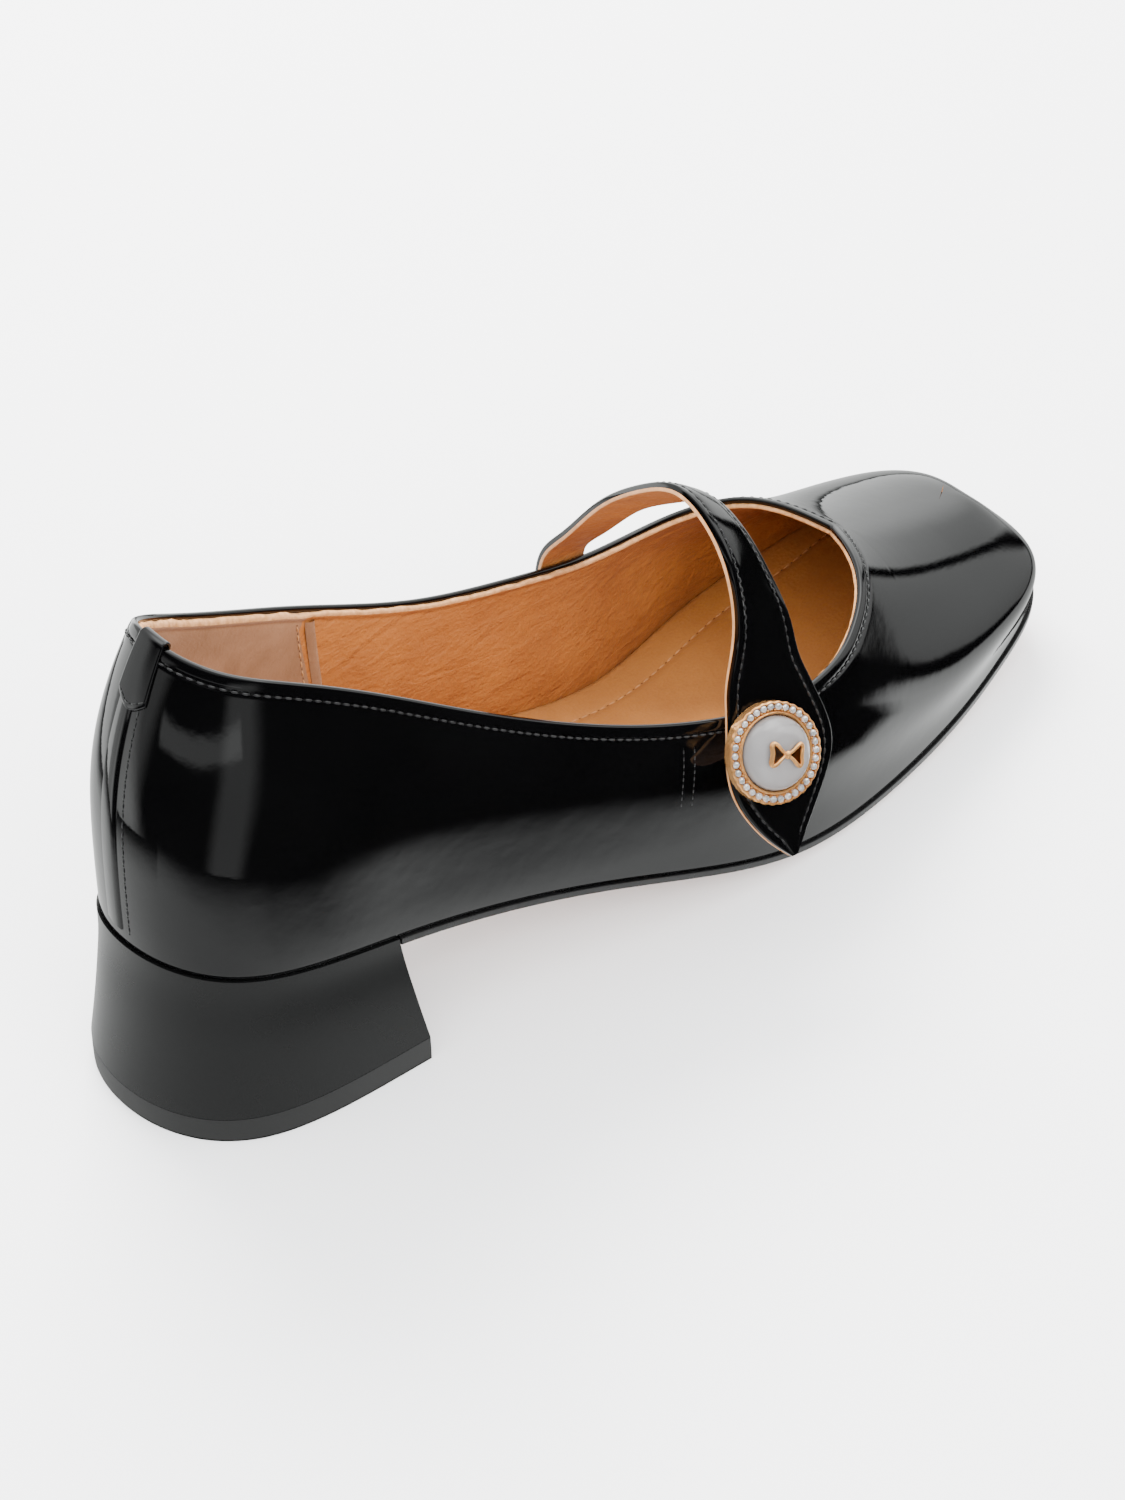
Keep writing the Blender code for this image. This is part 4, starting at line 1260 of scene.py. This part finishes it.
def strap_base():
    """Rows of points over the medial side of the upper, between the strap's two edges."""
    lift = CLEARANCE + STRAP_THICKNESS
    at = np.linspace(0, len(STRAP_BASE) - 1, BASE_STEPS)
    rows = []
    for height, rear, front in Curve(np.arange(len(STRAP_BASE)), np.array(STRAP_BASE))(at):
        targets = np.c_[np.linspace(rear, front, STRAP_COLUMNS), np.full(STRAP_COLUMNS, height)]
        s, out = last.find(1, targets, lambda p: p[:, [0, 2]], STRAP_BASE_GUESS, lift)
        rows.append(last.skin(1, s, out, np.full(len(s), lift)))
    return np.array(rows)


def leaf_frame():
    """Axes of the leaf (along the shoe, up the strap, outwards) and its middle."""
    level = math.cos(LEAF_LEAN)
    outward = np.array([-math.sin(LEAF_TURN) * level, -math.cos(LEAF_TURN) * level, math.sin(LEAF_LEAN)])
    along = np.array([1.0, 0.0, 0.0])
    along = unit(along - outward * along.dot(outward))
    edge = topline.at[-1]
    under = (edge[:, 0] > LEAF_REST[0]) & (edge[:, 0] < LEAF_REST[1])
    reach = (edge[under] @ outward).max() + CLEARANCE + STRAP_THICKNESS
    y = (reach - outward[0] * LEAF_X - outward[2] * LEAF_Z) / outward[1]
    return np.stack([along, np.cross(outward, along), outward]), np.array([LEAF_X, y, LEAF_Z])


AXES, LEAF_CENTRE = leaf_frame()
SEAT = LEAF_CENTRE + AXES[2] * CLEARANCE - AXES[0] * ORNAMENT_BACK + AXES[1] * ORNAMENT_UP


def strap_surface():
    """Outer face of the strap as a grid: along it, then across it from rear to front."""
    place = np.linspace(0, len(STRAP_LEAF) - 1, 3 * len(STRAP_LEAF) - 2)
    down, rear, front = Curve(np.arange(len(STRAP_LEAF)), np.array(STRAP_LEAF))(place).T[:, :, None, None]
    ahead = rear + (front - rear) * np.linspace(0, 1, STRAP_COLUMNS)[:, None]
    leaf = LEAF_CENTRE - AXES[1] * down + AXES[0] * ahead
    arc = np.array(STRAP_ARC).reshape(-1, 2, 3)
    share = np.linspace(0, 1, STRAP_COLUMNS)[None, :, None]
    free = arc[:, :1] * (1 - share) + arc[:, 1:] * share
    free = free + np.array([0, 0, 1.0]) * STRAP_CROWN * np.sin(np.pi * share)
    control = np.concatenate([strap_base(), free, leaf])
    at = lengths_along(control.mean(1))
    path = Curve(at, control.reshape(len(control), -1))
    return path(np.linspace(0, at[-1], STRAP_STEPS)).reshape(STRAP_STEPS, STRAP_COLUMNS, 3)


# Rows of normals across the strap, and the width below which its edge profile is squeezed
NORMAL_STEPS = 40
FULL_WIDTH = 9.0 * MM
# The stitch rows end where the leaf's tip is narrower than this
SEWN_WIDTH = 4.6 * MM
STITCH_INSET = 2.05 * MM
STITCH_DEPTH = 0.10 * MM


def strap():
    surface = strap_surface()
    width = np.linalg.norm(surface[:, -1] - surface[:, 0], axis=1)
    across = Curve(np.linspace(0, 1, STRAP_COLUMNS), surface.transpose(1, 0, 2).reshape(STRAP_COLUMNS, -1))
    grid = across(np.linspace(0, 1, NORMAL_STEPS + 1)).reshape(NORMAL_STEPS + 1, STRAP_STEPS, 3)
    normals = unit(np.cross(np.gradient(grid, axis=1), np.gradient(grid, axis=0)))

    def at(inset, depth, front):
        """Points at an inset from one edge and a depth below the outer face, and the normals there."""
        squeeze = np.minimum(1.0, width / FULL_WIDTH)
        share = np.clip(inset * squeeze / width, -0.2, 0.5)
        share = 1 - share if front else share
        found = np.empty_like(surface[:, 0])
        normal = np.empty_like(found)
        for k in range(STRAP_STEPS):
            found[k] = across(share[k]).reshape(STRAP_STEPS, 3)[k]
            normal[k] = normals[int(round(float(np.clip(share[k], 0, 1)) * NORMAL_STEPS)), k]
        return found - normal * depth, normal

    def layer(profile):
        rings = np.stack([at(inset * MM, depth * MM, front)[0] for inset, depth, front in profile], 1)
        count = rings.shape[1]
        faces = list(map(tuple, grid_faces(STRAP_STEPS, count, True)))
        faces.append(tuple(range(count)))
        faces.append(tuple(range((STRAP_STEPS - 1) * count, STRAP_STEPS * count)))
        return rings.reshape(-1, 3), faces

    # Half profiles: inset from the edge and depth below the outer face, in millimetres
    half = [(0.0, 1.15), (0.0, 0.42), (0.10, 0.18), (0.28, 0.05), (0.55, 0.0), (1.3, 0.0), (1.75, 0.02)]
    half += [(2.05, 0.16), (2.35, 0.02), (2.9, -0.04), (3.8, -0.06), (5.0, -0.06)]
    top = [(i, d, False) for i, d in half] + [(i, d, True) for i, d in half[::-1]]
    top += [(3.0, 1.15, True), (3.0, 1.15, False)]
    vertices, faces = layer(top)
    piece("strap_patent", vertices, faces, PATENT, "patent_leather", ["strap"], angle=50.0)
    half = [(0.1, 1.95), (-0.12, 1.85), (-0.14, 1.30), (-0.10, 1.17), (3.0, 1.17)]
    under = [(i, d, False) for i, d in half] + [(i, d, True) for i, d in half[::-1]]
    under += [(4.0, 1.95, True), (4.0, 1.95, False)]
    vertices, faces = layer(under)
    # The cut edge along both sides and the two end faces have a look of their own
    which = np.zeros(len(faces), int)
    count = len(under)
    for k, face in enumerate(faces):
        if len(face) == 4:
            corner = min(f % count for f in face)
            spread = max(f % count for f in face) - corner
            if spread == 1 and (corner < 3 or 6 <= corner < 9):
                which[k] = 1
        else:
            which[k] = 1
    piece("strap_lining", vertices, faces, [LINING, TAN_EDGE], "insole_leather", which=which, angle=40.0)
    keep = slice(3, STRAP_STEPS - int(np.argmax(width[::-1] > SEWN_WIDTH)))
    for name, front in (("rear", False), ("front", True)):
        line, normal = at(STITCH_INSET, STITCH_DEPTH, front)
        threads("strap_stitches_" + name, line[keep], normal[keep], STRAP_STITCH)


strap()


# Ornament

BEZEL_RADIUS = 0.0106
STONES = 34
STONE_RADIUS = 0.80 * MM
STONE_CIRCLE = 9.45 * MM
BEAD_CIRCLES = (8.78, 10.12)
BEAD_RADIUS = 0.24 * MM
PEARL_RADIUS = 0.0077
PEARL_RISE = 0.0046
PEARL_POWER = 2.3
BEZEL_TOP = 2.6 * MM
FLOOR = 1.5 * MM
BOW_TURN = math.radians(-26.0)


def placed(points):
    return np.asarray(points, float) @ AXES + SEAT


def lathe(profile, sides, wave=None):
    """Vertices and faces turned about z; a profile row is radius, height, share of the wave."""
    turn = 2 * np.pi * np.arange(sides) / sides
    rings = []
    for row in profile:
        radius, height = row[:2]
        rate = row[2] if len(row) > 2 else 0.0
        radius = radius + rate * (wave(turn) if wave else 0.0)
        rings.append(np.c_[radius * np.cos(turn), radius * np.sin(turn), np.broadcast_to(height, sides)])
    return np.concatenate(rings), grid_faces(len(profile), sides, True)


def bezel():
    sides = STONES * 8
    low = -0.1 * MM
    rows = [
        (BEZEL_RADIUS * 0.6, low),
        (BEZEL_RADIUS - 0.25 * MM, low),
        (BEZEL_RADIUS, low + 0.2 * MM, 0.3),
        (BEZEL_RADIUS - 0.05 * MM, 1.2 * MM, 0.6),
        (BEZEL_RADIUS, 2.1 * MM, 1.0),
        (BEZEL_RADIUS - 0.12 * MM, 2.45 * MM, 1.0),
        (BEZEL_RADIUS - 0.34 * MM, BEZEL_TOP - 0.02 * MM, 1.0),
        (BEZEL_RADIUS - 0.5 * MM, 2.2 * MM),
        (BEZEL_RADIUS - 0.55 * MM, FLOOR + 0.2 * MM),
        (8.7 * MM, FLOOR),
        (8.55 * MM, 2.0 * MM),
        (8.45 * MM, 2.55 * MM),
        (8.25 * MM, 2.75 * MM),
        (8.0 * MM, 2.7 * MM),
        (7.85 * MM, 2.4 * MM),
        (7.8 * MM, FLOOR),
        (0.1 * MM, FLOOR),
    ]
    vertices, faces = lathe(rows, sides, lambda t: 0.09 * MM * np.cos(STONES * t))
    piece("bezel", placed(vertices), faces, GOLD, "rose_gold", ["ornament_bezel"], angle=45.0)


# Rows of a stone's corners: share of its radius, height in millimetres, turn in corners
STONE_ROWS = (
    (1.00, 2.05, 0.0),
    (1.00, 2.25, 0.0),
    (0.80, 2.62, 0.5),
    (0.50, 2.86, 0.0),
)


def stones():
    """Round cut stones in a ring, each a faceted crown, with gold beads between them."""
    corners = 8
    vertices, faces, beads, bead_faces = [], [], [], []
    for k in range(STONES):
        angle = 2 * np.pi * k / STONES
        centre = np.array([math.cos(angle), math.sin(angle), 0]) * STONE_CIRCLE
        spin = rng.uniform(0, np.pi)
        tip = np.array([rng.normal(0, 0.10), rng.normal(0, 0.10)])
        start = len(vertices)
        for radius, height, shift in STONE_ROWS:
            for j in range(corners):
                turn = spin + 2 * np.pi * (j + shift) / corners
                flat = np.array([math.cos(turn), math.sin(turn)]) * radius * STONE_RADIUS
                rise = height * MM + flat @ tip
                vertices.append(centre + np.array([flat[0], flat[1], rise]))
        for j in range(corners):
            n = (j + 1) % corners
            a, b, c, d = (start + row * corners for row in range(4))
            faces.append((a + j, a + n, b + n, b + j))
            faces.append((b + j, b + n, c + j))
            faces.append((c + j, b + n, c + n))
            faces.append((c + j, c + n, d + n))
            faces.append((c + j, d + n, d + j))
        faces.append([start + 3 * corners + j for j in range(corners)])
        faces.append([start + j for j in range(corners)])
        for reach in BEAD_CIRCLES:
            middle = angle + np.pi / STONES
            spot = np.array([math.cos(middle) * reach, math.sin(middle) * reach, 2.48]) * MM
            start = len(beads)
            for up in (-0.8, -0.2, 0.45, 0.9):
                girth = BEAD_RADIUS * math.sqrt(1 - up * up)
                for j in range(corners):
                    turn = 2 * np.pi * j / corners
                    beads.append(spot + [girth * math.cos(turn), girth * math.sin(turn), BEAD_RADIUS * up])
            bead_faces.extend(grid_faces(4, corners, True, start))
            bead_faces.append([start + 3 * corners + j for j in range(corners)])
            bead_faces.append([start + j for j in range(corners)])
    piece("stones", placed(vertices), faces, STONE, "clear_stones", ["ornament_stones"], flat=True)
    piece("stone_beads", placed(beads), bead_faces, GOLD, "rose_gold", angle=80.0)


def pearl_height(radius):
    share = np.clip(np.asarray(radius) / PEARL_RADIUS, 0, 1)
    return FLOOR + 0.3 * MM + PEARL_RISE * (1 - share**PEARL_POWER) ** (1 / PEARL_POWER)


def pearl():
    sides = 96
    rows = [(0.1 * MM, FLOOR + 0.05 * MM), (PEARL_RADIUS, FLOOR + 0.05 * MM)]
    for angle in np.linspace(0, np.pi / 2, 40)[:-1]:
        radius = PEARL_RADIUS * math.cos(angle) ** (2 / PEARL_POWER)
        rows.append((radius, float(pearl_height(radius))))
    rows.append((0.02 * MM, FLOOR + 0.3 * MM + PEARL_RISE))
    vertices, faces = lathe(rows, sides)
    faces = list(map(tuple, faces)) + [tuple(range((len(rows) - 1) * sides, len(rows) * sides))]
    piece("pearl", placed(vertices), faces, PEARL, "pearl", ["ornament_pearl"], angle=60.0)


# Half of one bow loop, from the knot round the outer end: across and up, in millimetres
BOW_LOOP = (
    (0.45, 0.00),
    (0.75, 0.42),
    (1.60, 1.15),
    (2.55, 2.05),
    (3.20, 2.25),
    (3.52, 1.75),
    (3.45, 0.85),
    (3.38, 0.00),
)
# The knot, in millimetres: radius, half its length and height of its middle over the pearl
KNOT_RADIUS = 0.66
KNOT_HALF = 0.92
KNOT_RISE = 0.85


def bow():
    """Small bow: two loops with a raised rim and a sunk middle painted dark as shade, and a knot."""
    half = np.array(BOW_LOOP)
    loop = np.concatenate([half, half[-2:0:-1] * [1, -1]])
    closed = np.concatenate([loop, loop[:1]])
    at = lengths_along(closed)
    line = Curve(at, closed, closed=True)(np.linspace(0, at[-1], 65)[:-1])
    count = len(line)
    sides = 12
    turn = 2 * np.pi * np.arange(sides) / sides
    vertices, faces, which = [], [], []
    for sign in (-1, 1):
        flat = line * [sign, 1]
        ahead = unit(np.roll(flat, -1, 0) - np.roll(flat, 1, 0))
        side = np.c_[ahead[:, 1], -ahead[:, 0]]
        thick = 0.34 + 0.10 * smooth(np.abs(flat[:, 0]), 0.5, 3.0)
        rise = 0.55 + 0.35 * smooth(np.abs(flat[:, 0]), 0.3, 2.4)
        ring = flat[:, None] + side[:, None] * (thick[:, None] * np.cos(turn))[..., None]
        lift = rise[:, None] + 1.25 * thick[:, None] * np.sin(turn)
        points = np.concatenate([ring, lift[..., None]], -1)
        start = len(vertices)
        vertices.extend(points.reshape(-1, 3))
        quads = grid_faces(count + 1, sides, True) % (count * sides) + start
        faces.extend(map(tuple, quads))
        which.extend([0] * len(quads))
        # Sunk middle of the loop, given the darkened gold: painted shade.
        start = len(vertices)
        centre = flat.mean(0)
        for share in (1.0, 0.5):
            sunk = np.c_[centre + (flat - centre) * share, np.full(count, 0.45 if share == 1.0 else 0.30)]
            vertices.extend(sunk)
        faces.extend(map(tuple, grid_faces(2, count, True, start)))
        faces.append(tuple(start + count + k for k in range(count)))
        which.extend([1] * (count + 1))
    start = len(vertices)
    rows, sides = 13, 20
    for up in np.linspace(-0.96, 0.96, rows):
        girth = KNOT_RADIUS * math.sqrt(1 - up * up)
        for angle in 2 * np.pi * np.arange(sides) / sides:
            vertices.append((girth * math.cos(angle), KNOT_HALF * up, KNOT_RISE + girth * math.sin(angle)))
    faces.extend(map(tuple, grid_faces(rows, sides, True, start)))
    faces.append(tuple(start + k for k in range(sides)))
    faces.append(tuple(start + (rows - 1) * sides + k for k in range(sides)))
    which.extend([0] * ((rows - 1) * sides + 2))
    vertices = np.array(vertices) * MM
    spin = np.array([[math.cos(BOW_TURN), -math.sin(BOW_TURN)], [math.sin(BOW_TURN), math.cos(BOW_TURN)]])
    vertices[:, :2] = vertices[:, :2] @ spin.T
    radius = np.linalg.norm(vertices[:, :2], axis=1)
    vertices[:, 2] += pearl_height(radius) - 0.05 * MM
    looks = [GOLD, BOW_RECESS_SHADE]
    piece("bow", placed(vertices), faces, looks, "rose_gold", ["ornament_bow"], which, angle=60.0)


bezel()
stones()
pearl()
bow()


# Studio

# The camera that was fitted to the photo; its focal length is in pixels of the photo's long side
PHOTO_LONG_SIDE = 1500
CAMERA_AT = np.array([-0.1995, -0.3559, 0.4474])
AIM = np.array([0.1085, -0.0050, 0.0300])
FOCAL_PIXELS = 2960
SENSOR = 36.0
DOME_RADIUS = 1.3
SHOE_CENTRE = np.array([0.123, 0.0, 0.045])

# What the patent reflects from the room, as soft-edged patches: first and last azimuth (0 ahead of the
# toe, 90 medial), lowest and highest elevation, azimuth shift per degree of elevation, softness, and
# brightness at the low and at the high edge
ROOM_PATCHES = (
    (-24.0, 4.5, -5.0, 52.0, -0.62, 1.0, 0.80, 2.80),
    (9.5, 80.0, -40.0, 92.0, -0.62, 1.0, 1.10, 2.20),
    (30.0, 150.0, -30.0, 62.0, -0.40, 7.0, 1.10, 1.40),
    (-186.0, -112.0, -3.0, 3.0, 0.0, 1.0, 0.90, 0.90),
    (-128.0, -99.0, -75.0, 16.0, 0.5, 7.0, 0.50, 0.75),
    (150.0, 168.0, -75.0, 18.0, 0.4, 6.0, 0.60, 0.65),
    (60.0, 121.0, -60.0, 4.0, -0.2, 2.0, 1.50, 1.50),
    (-180.0, 180.0, 42.0, 100.0, 0.0, 8.0, 0.75, 1.00),
    (-60.0, 130.0, 50.0, 92.0, 0.0, 5.0, 1.60, 1.70),
)
# The pale table that the sides reflect: station, its width and brightness on the lateral side, then on
# the medial side
TABLE_GLOW = (
    (0, 120, 1.10, 109, 1.10),
    (1, 95, 1.00, 115, 1.40),
    (2, 78, 1.00, 150, 1.60),
    (3, 60, 1.10, 200, 1.60),
    (4, 48, 1.30, 200, 1.60),
    (5, 40, 1.60, 200, 1.60),
    (6, 34, 1.50, 200, 1.60),
    (7, 25, 1.40, 200, 1.60),
    (8, 19, 1.50, 200, 1.60),
    (9, 21, 1.80, 200, 1.60),
    (10, 36, 2.20, 200, 1.60),
    (11, 66, 2.40, 200, 1.40),
    (12, 105, 2.20, 200, 1.20),
    (13, 150, 1.60, 200, 1.00),
    (14, 180, 1.10, 200, 1.00),
    (15, 200, 1.10, 200, 1.00),
)
# Name, place, width, height, power and colour; none of them shows in reflections
LIGHTS = (
    ("key", (0.45, 0.85, 1.00), 0.90, 0.70, 62.0, (1.0, 0.99, 0.98)),
    ("front_fill", (-0.1, -1.2, 1.1), 1.4, 1.0, 24.0, (1.0, 1.0, 1.0)),
)
LIT_POINT = np.array([0.12, 0.0, 0.03])
WORLD_STRENGTH = 4.0


def aimed(obj, at, target):
    obj.location = Vector(at + SHIFT)
    obj.rotation_euler = Vector(target - at).to_track_quat("-Z", "Y").to_euler()


def reflected_only(name, vertices, faces, glow):
    """A glowing sheet that only reflections show, with its brightness given at each vertex."""
    mesh = bpy.data.meshes.new(name)
    mesh.from_pydata((np.asarray(vertices) + SHIFT).tolist(), [], np.asarray(faces).tolist())
    mesh.attributes.new("glow", "FLOAT", "POINT").data.foreach_set("value", np.asarray(glow, np.float32))
    mesh.shade_smooth()
    look = bpy.data.materials.new(name)
    look.use_nodes = True
    look.node_tree.nodes.clear()
    shine = look.node_tree.nodes.new("ShaderNodeEmission")
    shine.inputs["Color"].default_value = (0.98, 1.0, 0.99, 1.0)
    level = look.node_tree.nodes.new("ShaderNodeAttribute")
    level.attribute_name = "glow"
    end = look.node_tree.nodes.new("ShaderNodeOutputMaterial")
    look.node_tree.links.new(level.outputs["Fac"], shine.inputs["Strength"])
    look.node_tree.links.new(shine.outputs["Emission"], end.inputs["Surface"])
    look.cycles.emission_sampling = "NONE"
    mesh.materials.append(look)
    sheet = bpy.data.objects.new(name, mesh)
    bpy.context.scene.collection.objects.link(sheet)
    for ray in ("camera", "diffuse", "transmission", "volume_scatter", "shadow"):
        setattr(sheet, "visible_" + ray, False)


def room_glow(azimuth, elevation):
    glow = np.zeros(azimuth.shape)
    for first, last_one, low, high, slant, soft, dim, bright in ROOM_PATCHES:
        start = first + slant * elevation
        width = last_one - first
        if width >= 360:
            inside = np.ones(azimuth.shape)
        else:
            turn = (azimuth - start + 180) % 360 - 180
            turn = np.where(turn < (width - 360) / 2, turn + 360, turn)
            inside = smooth(turn, -soft, soft) * (1 - smooth(turn, width - soft, width + soft))
        inside = inside * smooth(elevation, low - soft, low + soft)
        inside = inside * (1 - smooth(elevation, high - soft, high + soft))
        share = np.clip((elevation - low) / (high - low), 0, 1)
        glow += inside * (dim + (bright - dim) * share)
    return glow


def room_dome():
    elevation, azimuth = np.meshgrid(np.arange(-65, 90.1, 1.0), np.arange(-180, 180, 1.25), indexing="ij")
    e, a = np.radians(elevation), np.radians(azimuth)
    way = np.stack([np.cos(e) * np.cos(a), np.cos(e) * np.sin(a), np.sin(e)], -1)
    vertices = SHOE_CENTRE + DOME_RADIUS * way.reshape(-1, 3)
    faces = grid_faces(*elevation.shape, True)
    reflected_only("room_reflection", vertices, faces, room_glow(azimuth, elevation).ravel())


def table_glow():
    rows = 24
    height = 0.4 * MM
    at = column(TABLE_GLOW, 0)
    rings = []
    levels = []
    stations = np.linspace(0, last.last_station, 260)
    share = np.linspace(0, 1, rows)
    for side, which in ((-1, 1), (1, 3)):
        edge, normal = last.edge(side, stations)
        width = np.interp(stations, at, column(TABLE_GLOW, which)) * MM
        level = np.interp(stations, at, column(TABLE_GLOW, which + 1))
        plan = edge + normal * (SOLE_LIP + width[None, :, None] * share[:, None, None])
        rings.append(np.concatenate([plan, np.full(plan.shape[:2] + (1,), height)], -1))
        levels.append(level[None] * (1 - smooth(share, 0.60, 1.0))[:, None])
    vertices = np.concatenate([rings[0], rings[1][:, -2:0:-1]], 1)
    glow = np.concatenate([levels[0], levels[1][:, -2:0:-1]], 1)
    faces = grid_faces(rows, vertices.shape[1], True)
    reflected_only("table_reflection", vertices.reshape(-1, 3), faces, glow.ravel())


def floor():
    look = Nodes("pale_floor", (0.87, 0.87, 0.87), 0.8, Specular_IOR_Level=0.1)
    look.tint(look.ramp(look.noise(6.0, 2.0), 0, 1), (0.872, 0.872, 0.872), (0.888, 0.888, 0.888))
    look.bump(look.noise(900.0, 2.0), 0.00002, 0.2)
    mesh = bpy.data.meshes.new("floor")
    size = 6.0
    corners = [(-size, -size, 0), (size, -size, 0), (size, size, 0), (-size, size, 0)]
    mesh.from_pydata(corners, [], [(0, 1, 2, 3)])
    mesh.materials.append(look.material)
    sheet = bpy.data.objects.new("floor", mesh)
    sheet.location.z = -0.2 * MM
    sheet.visible_glossy = False
    bpy.context.scene.collection.objects.link(sheet)


def studio():
    camera = bpy.data.objects.new("camera", bpy.data.cameras.new("camera"))
    camera.data.sensor_width = SENSOR
    camera.data.lens = SENSOR * FOCAL_PIXELS / PHOTO_LONG_SIDE
    camera.data.clip_start = 0.01
    camera.data.clip_end = 50.0
    aimed(camera, CAMERA_AT, AIM)
    bpy.context.scene.collection.objects.link(camera)
    bpy.context.scene.camera = camera

    world = bpy.data.worlds.new("soft_grey")
    world.use_nodes = True
    background = world.node_tree.nodes["Background"]
    background.inputs["Color"].default_value = (0.97, 0.98, 1.0, 1.0)
    background.inputs["Strength"].default_value = WORLD_STRENGTH
    bpy.context.scene.world = world
    world.cycles_visibility.glossy = False

    for name, at, width, height, power, colour in LIGHTS:
        data = bpy.data.lights.new(name, "AREA")
        data.shape = "RECTANGLE"
        data.size = width
        data.size_y = height
        data.energy = power
        data.color = colour
        lamp = bpy.data.objects.new(name, data)
        aimed(lamp, np.array(at), LIT_POINT)
        lamp.visible_glossy = False
        bpy.context.scene.collection.objects.link(lamp)
    floor()
    room_dome()
    table_glow()


studio()
